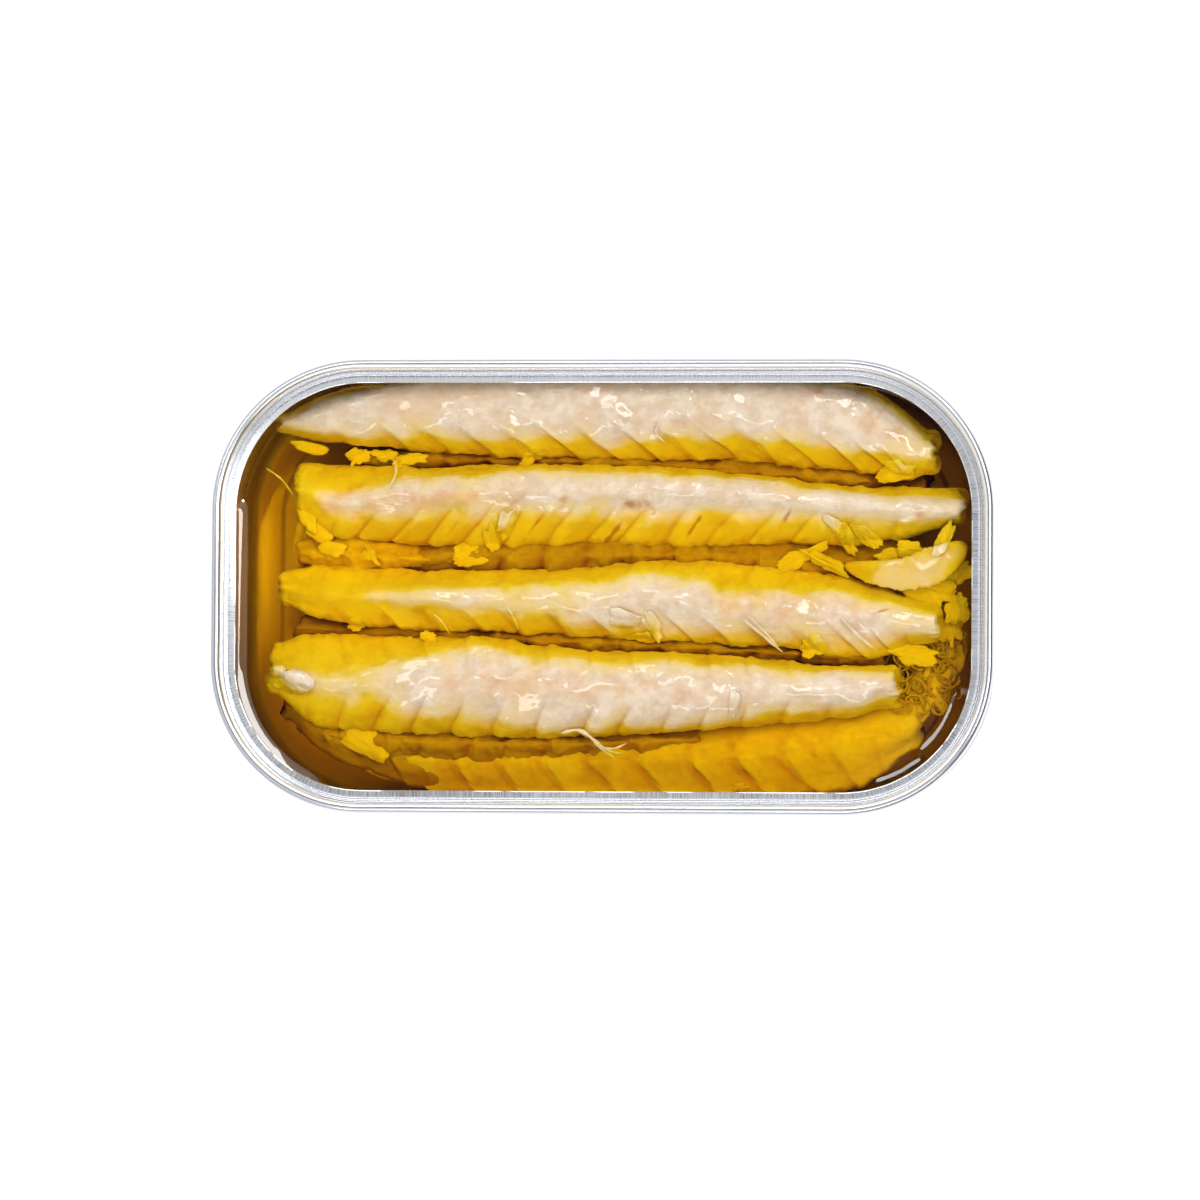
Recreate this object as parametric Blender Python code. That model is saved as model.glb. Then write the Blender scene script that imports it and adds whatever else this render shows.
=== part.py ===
"""An opened tin of mackerel fillets in oil.

A drawn aluminium tin with rounded corners stands on its base ring. Its lid has been pulled off along the
score, which leaves the double seam, the chuck wall, the countersink groove and a narrow flange with a torn
edge. Four fillets and one large loose flake stand up through the oil, which fills the rest of the tin, and a
fifth fillet of the lower layer lies sunk in it, at the front.
Origin: the middle of the base. X runs along the tin, Z is up. Metres.
"""

import math
import random

import bmesh
import bpy
from mathutils import Matrix, Vector

MM = 0.001

# ---- The tin: outer size over the seam, and the plate it is drawn from
TIN_LENGTH = 105.0 * MM
TIN_WIDTH = 60.8 * MM
TIN_HEIGHT = 28.0 * MM
CORNER_RADIUS = 20.3 * MM
PLATE = 0.25 * MM
CLEARANCE = 0.30 * MM  # between pieces that touch on the real thing
CORNER_STEPS = 9  # facets in each quarter turn of the rim

# ---- The seam: the lid's skin hooks over the upper edge of the body
SEAM_HEIGHT = 2.9 * MM
SEAM_THICKNESS = 3 * PLATE + 2 * CLEARANCE
SEAM_SHOULDER = 0.45 * MM  # how far below the crown the seam's sides begin
CHUCK_SLOPE = 0.07 * MM
GROOVE_DEPTH = 3.10 * MM  # floor of the countersink groove under the crown
GROOVE_WIDTH = 0.51 * MM
FLANGE_DEPTH = 2.45 * MM  # what is left of the lid's panel, under the crown
OPENING_INSET = 3.05 * MM  # from the outside of the seam to the torn edge
TORN_EDGE = 0.18 * MM  # the panel thins towards the score

# ---- The body: a slight draft, a rounded foot, a base ring and a raised panel
DRAFT = 0.50 * MM
FOOT_RADIUS = 3.0 * MM
FOOT_STEPS = 3
BASE_RING = 2.4 * MM
PANEL_RISE = 0.70 * MM
PANEL_STEP = 0.60 * MM

# ---- The contents
OIL_LEVEL = 21.2 * MM
FILLET_DEPTH = 9.5 * MM  # from the oil's surface to the underside of a fillet of the upper layer
SUNK_DEPTH = OIL_LEVEL - PANEL_RISE - PLATE - CLEARANCE - 0.05 * MM  # the lower layer lies on the base panel
EDGE_DEPTH = 2.9 * MM  # where a fillet's flank turns under, below the oil
EDGE_DROP = 2.0 * MM  # least drop from a fillet's crest to that edge
SHOULDER_DROP = 0.8 * MM  # least drop from a fillet's crest to its shoulders
RELIEF = 0.42 * MM  # how far each muscle segment stands proud of the next
SEGMENT_PHASES = (0.0, 0.2)  # the groove before a segment, and its lip
SEGMENT_HEIGHTS = (-0.4, 1.0)
FLANK = 3.5 * MM  # how far from the crest the relief reaches its full height
UPPER_LEAN = 0.6  # the seams' lean on the upper flank, as a share of the lower flank's
RING_SAMPLES = 2  # mesh points between two control points of a section
ROOM_STEP = 5.8 * MM  # spacing of the sections of the pocket that a fillet leaves in the oil
ROOM = 0.45 * MM  # how far that pocket stands off a fillet, whose relief it doesn't follow
END_REACH = 0.9 * MM
END_SHRINK = 0.62

# Each fillet is given by sections along the tin, in millimetres: the place x, then across the tin the lower
# edge, the lower shoulder, the upper shoulder and the upper edge, and the crest's height over the oil.
# "lean" is how far a segment's seam runs along the fillet for each step across its lower flank, and "depth"
# is how far its underside lies below the oil's surface.
FILLETS = {
    "fillet_1": {
        "segment": 5.3,
        "lean": 1.30,
        "depth": FILLET_DEPTH,
        "sections": [
            (-43.4, 20.9, 21.5, 22.8, 23.4, -0.1),
            (-38.5, 19.9, 20.9, 24.4, 25.6, 0.7),
            (-31.0, 18.9, 20.8, 25.9, 27.2, 1.2),
            (-18.0, 17.9, 20.3, 26.7, 27.9, 1.6),
            (12.0, 17.4, 20.2, 26.8, 27.9, 1.8),
            (28.0, 15.8, 18.7, 26.0, 27.4, 1.5),
            (38.0, 14.7, 17.0, 22.8, 24.3, 1.2),
            (43.2, 15.6, 16.9, 20.0, 21.2, 0.6),
        ],
    },
    "fillet_2": {
        "segment": 5.4,
        "lean": -0.90,
        "depth": FILLET_DEPTH,
        "sections": [
            (-41.0, 10.0, 11.3, 15.3, 17.0, -0.6),
            (-36.5, 7.3, 10.2, 13.0, 16.7, 0.2),
            (-27.5, 6.6, 10.5, 14.4, 16.2, 0.9),
            (-10.0, 6.2, 10.3, 15.5, 16.7, 1.4),
            (4.0, 6.2, 10.4, 15.6, 16.6, 1.6),
            (20.0, 6.3, 10.2, 14.6, 15.6, 1.4),
            (37.0, 6.4, 9.3, 12.5, 13.5, 1.2),
            (46.9, 8.9, 9.8, 12.0, 13.7, 0.7),
        ],
    },
    "fillet_3": {
        "segment": 5.5,
        "lean": 1.10,
        "depth": FILLET_DEPTH,
        "sections": [
            (-43.2, -2.2, -1.2, 1.3, 2.4, -1.5),
            (-39.0, -4.3, -2.6, 1.3, 3.0, -0.7),
            (-30.0, -5.4, -2.6, 0.4, 2.6, 0.1),
            (-16.5, -5.6, -3.1, 0.5, 2.6, 0.7),
            (-4.0, -6.5, -4.5, 1.4, 2.8, 1.2),
            (6.0, -6.9, -4.5, 2.3, 3.8, 1.5),
            (19.0, -7.8, -5.4, 0.5, 3.1, 1.3),
            (31.0, -8.9, -5.8, 0.0, 1.3, 1.3),
            (44.0, -7.0, -6.0, -3.0, -1.7, 0.9),
        ],
    },
    "fillet_4": {
        "segment": 5.4,
        "lean": -0.55,
        "depth": FILLET_DEPTH,
        "sections": [
            (-44.4, -14.3, -13.0, -9.4, -7.4, -0.5),
            (-39.5, -17.6, -14.6, -11.0, -6.5, 0.3),
            (-31.0, -18.6, -14.8, -10.2, -6.6, 0.8),
            (-16.5, -19.4, -17.0, -8.2, -6.6, 1.5),
            (-5.0, -19.8, -18.3, -9.2, -8.0, 1.8),
            (14.0, -19.0, -17.7, -9.8, -8.9, 1.9),
            (27.0, -17.7, -16.3, -10.9, -9.9, 1.7),
            (38.3, -16.0, -14.8, -11.1, -10.0, 1.4),
        ],
    },
    "fillet_5": {
        "segment": 6.4,
        "lean": 1.07,
        "depth": SUNK_DEPTH,
        "sections": [
            (-40.5, -19.5, -18.6, -17.2, -16.4, -5.2),
            (-36.0, -23.6, -22.0, -18.4, -16.8, -4.6),
            (-25.0, -27.0, -25.4, -20.3, -17.2, -4.2),
            (-10.0, -27.8, -26.0, -20.2, -17.0, -3.8),
            (10.0, -28.0, -26.0, -19.6, -16.6, -3.5),
            (25.0, -27.2, -25.0, -18.6, -15.4, -3.2),
            (34.0, -25.4, -23.2, -17.4, -14.0, -3.0),
            (41.0, -21.4, -20.2, -16.4, -13.6, -3.2),
        ],
    },
}

# Loose bits that cling to a fillet, in millimetres: middle (x, y, height over the oil), length, width,
# thickness, turn about Z and tip about the long axis in degrees.
CHIPS = {
    "fillet_1": [((38.8, 15.9, -0.5), 5.0, 2.3, 1.6, 8, -20)],
    "fillet_2": [
        ((31.8, 7.6, -0.9), 5.2, 2.0, 1.4, -48, 20),
        ((-14.2, 7.8, -1.0), 5.4, 1.7, 1.2, 62, 25),
    ],
    "fillet_3": [((4.9, -4.9, -0.3), 6.4, 2.6, 1.3, -22, 25)],
    "fillet_4": [((-42.2, -12.9, -0.3), 5.2, 3.2, 1.8, -18, 15)],
}
CHIP_SIDES = 9
CHIP_SEED = 5

# The large flake: sections along a bow, each with x, y, half width, height of its middle over the oil
FLAKE = [
    (32.2, 3.2, 0.5, -0.7),
    (35.5, 2.3, 1.3, -0.5),
    (40.2, 1.9, 2.0, -0.3),
    (44.4, 3.2, 2.1, -0.2),
    (48.6, 6.0, 1.5, -0.6),
]
FLAKE_THICKNESS = 1.5 * MM
FLAKE_STEPS = 12
FLAKE_SIDES = 10

COLOURS = {
    "aluminium": (0.76, 0.77, 0.79, 1.0),
    "oil": (0.74, 0.46, 0.03, 1.0),
    "fish": (0.80, 0.66, 0.42, 1.0),
}


def material(name, metallic, roughness):
    mat = bpy.data.materials.get(name)
    if mat is None:
        mat = bpy.data.materials.new(name)
        mat.use_nodes = True
        shader = mat.node_tree.nodes["Principled BSDF"]
        shader.inputs["Base Color"].default_value = COLOURS[name]
        shader.inputs["Metallic"].default_value = metallic
        shader.inputs["Roughness"].default_value = roughness
    return mat


def add_object(name, bm, mat):
    """Turns a bmesh into a named object with smooth shading and its material."""
    mesh = bpy.data.meshes.new(name)
    bmesh.ops.recalc_face_normals(bm, faces=bm.faces)
    bm.to_mesh(mesh)
    bm.free()
    mesh.shade_smooth()
    mesh.set_sharp_from_angle(angle=math.radians(40))
    mesh.materials.append(mat)
    ob = bpy.data.objects.new(name, mesh)
    bpy.context.scene.collection.objects.link(ob)
    return ob


# ---------------------------------------------------------------- the tin


def sweep_round(profile, closed):
    """Sweeps a profile of (inset, height) points round the tin: a straight side, a quarter turn, four times.

    The inset is measured inwards from the outside of the seam.
    """
    half_x = TIN_LENGTH / 2 - CORNER_RADIUS
    half_y = TIN_WIDTH / 2 - CORNER_RADIUS
    bm = bmesh.new()
    verts = [bm.verts.new((half_x + CORNER_RADIUS - d, -half_y, z)) for d, z in profile]
    front = [bm.edges.new(pair) for pair in zip(verts, verts[1:])]
    if closed:
        front.append(bm.edges.new((verts[-1], verts[0])))
    corners = [(half_x, half_y), (-half_x, half_y), (-half_x, -half_y), (half_x, -half_y)]
    sides = [(0, 2 * half_y), (-2 * half_x, 0), (0, -2 * half_y), (2 * half_x, 0)]
    for (cx, cy), (dx, dy) in zip(corners, sides):
        moved = bmesh.ops.extrude_edge_only(bm, edges=front)["geom"]
        ends = [item for item in moved if isinstance(item, bmesh.types.BMVert)]
        bmesh.ops.translate(bm, vec=(dx, dy, 0), verts=ends)
        front = [item for item in moved if isinstance(item, bmesh.types.BMEdge)]
        turned = bmesh.ops.spin(
            bm,
            geom=ends + front,
            cent=(cx, cy, 0),
            axis=(0, 0, 1),
            angle=math.pi / 2,
            steps=CORNER_STEPS,
        )["geom_last"]
        front = [item for item in turned if isinstance(item, bmesh.types.BMEdge)]
    bmesh.ops.remove_doubles(bm, verts=bm.verts, dist=0.01 * MM)
    return bm


def wall_inset(height):
    """How far the body's outer face lies inside the seam's outer face at a height."""
    top = TIN_HEIGHT - PLATE - CLEARANCE
    share = (top - height) / (top - FOOT_RADIUS)
    return PLATE + CLEARANCE + DRAFT * share


def body_side(offset):
    """The body's profile from its upper edge to the base panel, moved inwards by an offset."""
    foot = FOOT_RADIUS - offset
    top = TIN_HEIGHT - PLATE - CLEARANCE
    centre = wall_inset(FOOT_RADIUS) + FOOT_RADIUS
    points = [(wall_inset(top) + offset, top)]
    for step in range(FOOT_STEPS + 1):
        angle = math.pi / 2 * step / FOOT_STEPS
        points.append((centre - foot * math.cos(angle), FOOT_RADIUS - foot * math.sin(angle)))
    ring_end = centre + BASE_RING - offset
    points.append((ring_end, offset))
    points.append((ring_end + PANEL_STEP, PANEL_RISE + offset))
    return points


def build_body(mat):
    """The drawn shell: up its outer side, over its upper edge and down the inner side, with both faces of
    the base panel filled in."""
    bm = sweep_round(body_side(0.0)[::-1] + body_side(PLATE), closed=False)
    bmesh.ops.holes_fill(bm, edges=[e for e in bm.edges if e.is_boundary])
    return add_object("tin_body", bm, mat)


def build_lid_ring(mat):
    """What stays of the lid: the hook outside the body, the crown, the chuck wall, the groove and the flange."""
    crown = TIN_HEIGHT
    middle = SEAM_THICKNESS / 2
    bend = SEAM_SHOULDER / 2
    groove = SEAM_THICKNESS + CHUCK_SLOPE
    flange = groove + GROOVE_WIDTH
    hook = crown - SEAM_HEIGHT
    over = [
        (PLATE * 1.1, hook),
        (0.0, hook + SEAM_SHOULDER),
        (0.0, crown - SEAM_SHOULDER),
        (bend * 0.8, crown - bend * 0.8),
        (middle, crown),
        (SEAM_THICKNESS - bend * 0.8, crown - bend * 0.8),
        (SEAM_THICKNESS, crown - SEAM_SHOULDER),
        (groove, crown - GROOVE_DEPTH + bend),
        (groove + GROOVE_WIDTH / 2, crown - GROOVE_DEPTH),
        (flange, crown - GROOVE_DEPTH + bend),
        (flange + bend, crown - FLANGE_DEPTH),
        (OPENING_INSET, crown - FLANGE_DEPTH),
    ]
    under = [
        (OPENING_INSET, crown - FLANGE_DEPTH - TORN_EDGE),
        (flange + PLATE + bend * 0.6, crown - FLANGE_DEPTH - PLATE),
        (flange + PLATE, crown - GROOVE_DEPTH),
        (groove + GROOVE_WIDTH / 2, crown - GROOVE_DEPTH - PLATE),
        (groove - PLATE, crown - GROOVE_DEPTH),
        (SEAM_THICKNESS - PLATE, crown - SEAM_SHOULDER),
        (middle, crown - PLATE),
        (PLATE, crown - SEAM_SHOULDER),
        (PLATE, hook + SEAM_SHOULDER),
    ]
    return add_object("lid_ring", sweep_round(over + under, closed=True), mat)


# ---------------------------------------------------------------- the fish


def along(rows, x):
    """Reads a smooth curve through the rows (x, value, value, ...) at x."""
    count = len(rows)
    i = 0
    while i < count - 2 and x > rows[i + 1][0]:
        i += 1
    before, here, there, after = rows[max(i - 1, 0)], rows[i], rows[i + 1], rows[min(i + 2, count - 1)]
    span = there[0] - here[0]
    t = min(max((x - here[0]) / span, 0.0), 1.0)
    values = []
    for k in range(1, len(here)):
        start = (there[k] - before[k]) / (there[0] - before[0]) * span
        end = (after[k] - here[k]) / (after[0] - here[0]) * span
        values.append(
            (2 * t**3 - 3 * t**2 + 1) * here[k]
            + (t**3 - 2 * t**2 + t) * start
            + (3 * t**2 - 2 * t**3) * there[k]
            + (t**3 - t**2) * end
        )
    return values


def closed_curve(points, samples):
    """Points on a smooth closed curve through the given (y, z) points."""
    count = len(points)
    curve = []
    for i in range(count):
        p0, p1, p2, p3 = (Vector(points[(i + k - 1) % count]) for k in range(4))
        for s in range(samples):
            t = s / samples
            curve.append(
                0.5
                * (
                    2 * p1
                    + (p2 - p0) * t
                    + (2 * p0 - 5 * p1 + 4 * p2 - p3) * t**2
                    + (3 * p1 - p0 - 3 * p2 + p3) * t**3
                )
            )
    return curve


def fillet_section(spec, x):
    """The eight control points (y, z) of a fillet's section at x: upper edge, upper shoulder, crest, lower
    shoulder, lower edge, and three points of the rounded underside."""
    low_edge, low, high, high_edge, crest = (value * MM for value in along(spec["sections"], x / MM))
    shoulder = min(0.0, crest - SHOULDER_DROP)
    edge = min(-EDGE_DEPTH, crest - EDGE_DROP)
    middle = (low + high) / 2
    belly = (edge - spec["depth"]) / 2 - 0.12 * spec["depth"]
    points = [
        (high_edge, edge),
        (high, shoulder),
        (middle, crest),
        (low, shoulder),
        (low_edge, edge),
        (low_edge + (middle - low_edge) * 0.22, belly),
        (middle, -spec["depth"]),
        (high_edge + (middle - high_edge) * 0.22, belly),
    ]
    return [(y, z + OIL_LEVEL) for y, z in points]


def loft(rings):
    """A closed skin over rings of equally many points, with each end drawn in to its middle."""
    bm = bmesh.new()
    layers = [[bm.verts.new(point) for point in ring] for ring in rings]
    count = len(rings[0])
    for near, far in zip(layers, layers[1:]):
        for j in range(count):
            k = (j + 1) % count
            bm.faces.new((near[j], near[k], far[k], far[j]))
    for layer in (layers[0], layers[-1]):
        centre = sum((v.co for v in layer), Vector()) / count
        tip = bm.verts.new(centre)
        for j in range(count):
            bm.faces.new((layer[j], layer[(j + 1) % count], tip))
    bmesh.ops.recalc_face_normals(bm, faces=bm.faces)
    return bm


def segment_places(spec):
    """Where the sections of a fillet stand along it, each with the height of its relief."""
    first, last = spec["sections"][0][0] * MM, spec["sections"][-1][0] * MM
    segment = spec["segment"] * MM
    places = []
    for number in range(int((last - first) / segment) + 1):
        for phase, height in zip(SEGMENT_PHASES, SEGMENT_HEIGHTS):
            x = first + segment * (number + phase)
            if x < last - segment * 0.15:
                places.append((x, height))
    return places + [(last, 0.0)]


def room_places(spec):
    """The same for the pocket round a fillet: fewer sections, as high as the lips of its segments."""
    first, last = spec["sections"][0][0] * MM, spec["sections"][-1][0] * MM
    count = round((last - first) / ROOM_STEP)
    return [(first + (last - first) * i / count, SEGMENT_HEIGHTS[-1]) for i in range(count + 1)]


def fillet_bmesh(spec, places):
    """One fillet: sections along it, leaned to follow the slanting seams between its muscle segments."""
    first, last = spec["sections"][0][0] * MM, spec["sections"][-1][0] * MM
    segment = spec["segment"] * MM
    rings = []
    for x, height in places:
        control = fillet_section(spec, x)
        ring = closed_curve(control, RING_SAMPLES)
        crest_y = control[2][0]
        centre = Vector((crest_y, OIL_LEVEL - EDGE_DEPTH))
        fade = min(1.0, (x - first) / (2 * segment), (last - x) / (2 * segment))
        points = []
        for y, z in ring:
            out = (Vector((y, z)) - centre).normalized()
            depth = min(max((z - OIL_LEVEL + spec["depth"]) / (spec["depth"] - EDGE_DEPTH), 0.0), 1.0)
            flank = min(1.0, abs(y - crest_y) / FLANK)
            lift = RELIEF * height * flank * depth * fade
            shift = -spec["lean"] * abs(y - crest_y) * depth * fade
            if y > crest_y:
                shift *= UPPER_LEAN
            points.append((x - shift, y + out.x * lift, z + out.y * lift))
        rings.append(points)
    for end, reach in ((0, -END_REACH), (-1, END_REACH)):
        ring = [Vector(point) for point in rings[end]]
        centre = sum(ring, Vector()) / len(ring)
        cap = [centre + (point - centre) * END_SHRINK + Vector((reach, 0, 0)) for point in ring]
        if end == 0:
            rings.insert(0, cap)
        else:
            rings.append(cap)
    return loft(rings)


def chip_bmesh(spec, rng):
    """A small torn flake of flesh: an uneven lens."""
    (x, y, z), length, width, thickness, turn, tip = spec
    rings = []
    for height, reach in ((-0.5, 0.45), (-0.1, 1.0), (0.25, 0.85), (0.5, 0.35)):
        ring = []
        for side in range(CHIP_SIDES):
            angle = 2 * math.pi * side / CHIP_SIDES
            uneven = reach * rng.uniform(0.82, 1.12) / 2
            ring.append((math.cos(angle) * uneven * length, math.sin(angle) * uneven * width, height * thickness))
        rings.append(ring)
    bm = loft(rings)
    place = Matrix.Translation(Vector((x * MM, y * MM, z * MM + OIL_LEVEL)))
    turned = Matrix.Rotation(math.radians(turn), 4, "Z") @ Matrix.Rotation(math.radians(tip), 4, "X")
    bmesh.ops.transform(bm, matrix=place @ turned @ Matrix.Scale(MM, 4), verts=bm.verts)
    return bm


def flake_bmesh():
    """The large loose flake: a thin bowed leaf of flesh, its outer side ridged by its fibres' ends."""
    first, last = FLAKE[0][0], FLAKE[-1][0]
    spots = []
    for step in range(FLAKE_STEPS + 1):
        x = first + (last - first) * step / FLAKE_STEPS
        spots.append((x, *along(FLAKE, x)))
    rings = []
    for i, (x, y, half, height) in enumerate(spots):
        ahead, behind = spots[min(i + 1, FLAKE_STEPS)], spots[max(i - 1, 0)]
        heading = Vector((ahead[0] - behind[0], ahead[1] - behind[1])).normalized()
        across = Vector((-heading.y, heading.x))
        frill = 1.0 + 0.10 * math.cos(math.pi * i)
        ring = []
        for side in range(FLAKE_SIDES):
            angle = 2 * math.pi * side / FLAKE_SIDES
            reach = half * math.cos(angle) * (frill if math.cos(angle) < 0 else 1.0)
            lift = FLAKE_THICKNESS / 2 * math.sin(angle) * (0.6 if i in (0, FLAKE_STEPS) else 1.0)
            place = Vector((x, y)) + across * reach
            ring.append((place.x * MM, place.y * MM, OIL_LEVEL + height * MM + lift))
        rings.append(ring)
    return loft(rings)


def grown(bm, gap):
    """The same skin, moved out by a gap."""
    bm.normal_update()
    moves = [(v, v.normal * gap * v.calc_shell_factor()) for v in bm.verts]
    for v, move in moves:
        v.co += move
    return bm


def cut(ob, operation, tools):
    """Applies one Boolean with a list of tool objects, removes the tools and keeps the largest body."""
    group = bpy.data.collections.new(ob.name + "_tools")
    bpy.context.scene.collection.children.link(group)
    for tool in tools:
        bpy.context.scene.collection.objects.unlink(tool)
        group.objects.link(tool)
    modifier = ob.modifiers.new("tools", "BOOLEAN")
    modifier.operation = operation
    modifier.operand_type = "COLLECTION"
    modifier.collection = group
    modifier.solver = "EXACT"
    depsgraph = bpy.context.evaluated_depsgraph_get()
    bm = bmesh.new()
    bm.from_object(ob, depsgraph)
    ob.modifiers.remove(modifier)
    for tool in tools:
        bpy.data.objects.remove(tool)
    bpy.data.collections.remove(group)
    bmesh.ops.triangulate(bm, faces=bm.faces)
    bmesh.ops.dissolve_degenerate(bm, dist=0.005 * MM, edges=bm.edges)
    keep_largest(bm)
    bm.to_mesh(ob.data)
    bm.free()
    ob.data.shade_smooth()
    ob.data.set_sharp_from_angle(angle=math.radians(40))


def keep_largest(bm):
    """Deletes every body but the one with the most faces."""
    unseen = set(bm.faces)
    bodies = []
    while unseen:
        body = {unseen.pop()}
        edge = list(body)
        while edge:
            face = edge.pop()
            for neighbour in {f for e in face.edges for f in e.link_faces} & unseen:
                unseen.remove(neighbour)
                body.add(neighbour)
                edge.append(neighbour)
        bodies.append(body)
    bodies.sort(key=len)
    for body in bodies[:-1]:
        bmesh.ops.delete(bm, geom=list(body), context="FACES")


def room_object(name, mat):
    """A fillet's shape with room round it, to cut from what it lies in or against."""
    spec = FILLETS[name]
    return add_object(name + "_room", grown(fillet_bmesh(spec, room_places(spec)), ROOM), mat)


def build_fish(mat):
    """Adds the fillets and the flake, and returns the grown copies that the oil is cut with."""
    cutters = []
    rng = random.Random(CHIP_SEED)
    for name, spec in FILLETS.items():
        fillet = add_object(name, fillet_bmesh(spec, segment_places(spec)), mat)
        cutters.append(room_object(name, mat))
        chips = []
        for number, chip in enumerate(CHIPS.get(name, [])):
            bm = chip_bmesh(chip, rng)
            room = bm.copy()
            chips.append(add_object(f"{name}_chip_{number}", bm, mat))
            cutters.append(add_object(f"{name}_chip_{number}_room", grown(room, CLEARANCE), mat))
        if chips:
            cut(fillet, "UNION", chips)
    # the upper layer presses into the sunk fillet where it lies on it
    cut(bpy.data.objects["fillet_5"], "DIFFERENCE", [room_object("fillet_4", mat)])
    add_object("flake_large", flake_bmesh(), mat)
    cutters.append(add_object("flake_large_room", grown(flake_bmesh(), CLEARANCE), mat))
    return cutters


def build_oil(mat, cutters):
    """The oil fills the tin to its level, and stands round the fish that rises through it."""
    inner = body_side(PLATE + CLEARANCE)[1:]
    profile = [(wall_inset(OIL_LEVEL) + PLATE + CLEARANCE, OIL_LEVEL)] + inner
    bm = sweep_round(profile, closed=False)
    bmesh.ops.holes_fill(bm, edges=[e for e in bm.edges if e.is_boundary])
    oil = add_object("oil", bm, mat)
    cut(oil, "DIFFERENCE", cutters)


def main():
    for ob in list(bpy.data.objects):
        bpy.data.objects.remove(ob)
    aluminium = material("aluminium", 1.0, 0.28)
    fish = material("fish", 0.0, 0.42)
    oil = material("oil", 0.0, 0.08)
    build_body(aluminium)
    build_lid_ring(aluminium)
    cutters = build_fish(fish)
    build_oil(oil, cutters)


main()
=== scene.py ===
# %% [markdown]
# # An opened tin of mackerel fillets in oil
# This lesson dresses a construction model of a fish tin. The model gives the places and sizes: a drawn
# aluminium body, the seamed rest of a lid that was pulled off, the oil up to its level, five fillets and a
# large loose flake. What it lacks is what makes food look like food: torn muscle, wet gloss, and a golden
# liquid that hides more the deeper one looks. Every step below makes one of these in mesh code.

# %% The frame that everything is built in
import math
import random

import bmesh
import bpy
import numpy as np
from mathutils import Matrix, Vector
from mathutils.bvhtree import BVHTree


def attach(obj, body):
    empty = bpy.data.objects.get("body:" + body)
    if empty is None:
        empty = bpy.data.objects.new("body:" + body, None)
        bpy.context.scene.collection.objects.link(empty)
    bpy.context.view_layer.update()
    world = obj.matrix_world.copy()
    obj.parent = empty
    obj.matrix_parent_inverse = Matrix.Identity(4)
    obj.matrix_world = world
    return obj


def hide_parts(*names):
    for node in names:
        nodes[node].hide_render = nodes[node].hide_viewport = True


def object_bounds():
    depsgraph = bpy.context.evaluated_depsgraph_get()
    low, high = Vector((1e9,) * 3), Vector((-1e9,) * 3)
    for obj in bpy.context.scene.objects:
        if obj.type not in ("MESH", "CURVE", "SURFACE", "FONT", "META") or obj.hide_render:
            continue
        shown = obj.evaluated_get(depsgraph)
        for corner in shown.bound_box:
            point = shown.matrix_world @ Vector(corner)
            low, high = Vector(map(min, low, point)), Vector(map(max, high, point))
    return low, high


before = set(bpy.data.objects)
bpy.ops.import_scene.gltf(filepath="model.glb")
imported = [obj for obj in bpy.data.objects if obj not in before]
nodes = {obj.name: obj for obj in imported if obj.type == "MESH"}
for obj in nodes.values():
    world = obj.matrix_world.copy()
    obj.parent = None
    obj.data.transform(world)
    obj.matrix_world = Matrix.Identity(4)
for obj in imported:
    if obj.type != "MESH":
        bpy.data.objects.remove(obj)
cad_low, cad_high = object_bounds()
print("nodes:", sorted(nodes))
print("box in mm:", [round((b - a) * 1000, 1) for a, b in zip(cad_low, cad_high)])

# %% [markdown]
# ## Sizes
# The tin's own sizes drive the rest. They repeat what the construction model was built from, and the outer
# length, width and height are read from its box, so that a change there carries over.

# %% Driving sizes of the tin
MM = 0.001
TIN_LENGTH, TIN_WIDTH, TIN_HEIGHT = cad_high - cad_low
CORNER_RADIUS = 20.3 * MM
PLATE = 0.25 * MM
SEAM_HEIGHT = 2.9 * MM
SEAM_THICKNESS = 1.35 * MM
GROOVE_DEPTH = 3.10 * MM
FLANGE_DEPTH = 2.45 * MM
FLANGE_FALL = 4.0
OPENING_INSET = 3.05 * MM
DRAFT = 0.50 * MM
FOOT_RADIUS = 3.0 * MM
BASE_RING = 2.4 * MM
PANEL_RISE = 0.70 * MM
PANEL_STEP = 0.60 * MM
BODY_TOP = TIN_HEIGHT - 0.55 * MM
OIL_LEVEL = 21.2 * MM
HALF_X = TIN_LENGTH / 2 - CORNER_RADIUS
HALF_Y = TIN_WIDTH / 2 - CORNER_RADIUS
print("oil under the crown, mm:", round((TIN_HEIGHT - OIL_LEVEL) / MM, 2))

# %% [markdown]
# ## Small helpers
# Three things come back all the time: turning a bmesh into a finished object that rides on the tin, reading
# smooth noise at many points at once, and building a node material without writing every link out.

# %% Objects
def to_mesh(name, bm):
    """A mesh from a bmesh, which is freed."""
    mesh = bpy.data.meshes.new(name)
    bm.to_mesh(mesh)
    bm.free()
    return mesh


def add_object(name, data):
    """A named object at the origin of the scene."""
    ob = bpy.data.objects.new(name, data)
    bpy.context.scene.collection.objects.link(ob)
    return ob


def add_mesh(name, mesh, mat):
    """A smooth, named object from a mesh, riding on the tin's body."""
    mesh.shade_smooth()
    mesh.materials.append(mat)
    ob = add_object(name, mesh)
    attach(ob, "root")
    return ob


def add_piece(name, bm, mat):
    return add_mesh(name, to_mesh(name, bm), mat)


def triangles(ob):
    return sum(len(face.vertices) - 2 for face in ob.data.polygons)


def points_of(mesh):
    """A mesh's points as an (n, 3) array."""
    co = np.zeros(len(mesh.vertices) * 3)
    mesh.vertices.foreach_get("co", co)
    return co.reshape(-1, 3)


def add_mark(mesh, name, values):
    """Keeps one number on each point, for the material to read."""
    mesh.attributes.new(name, "FLOAT", "POINT").data.foreach_set("value", np.asarray(values, np.float32))


# %% Noise
OCTAVES = 3


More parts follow.
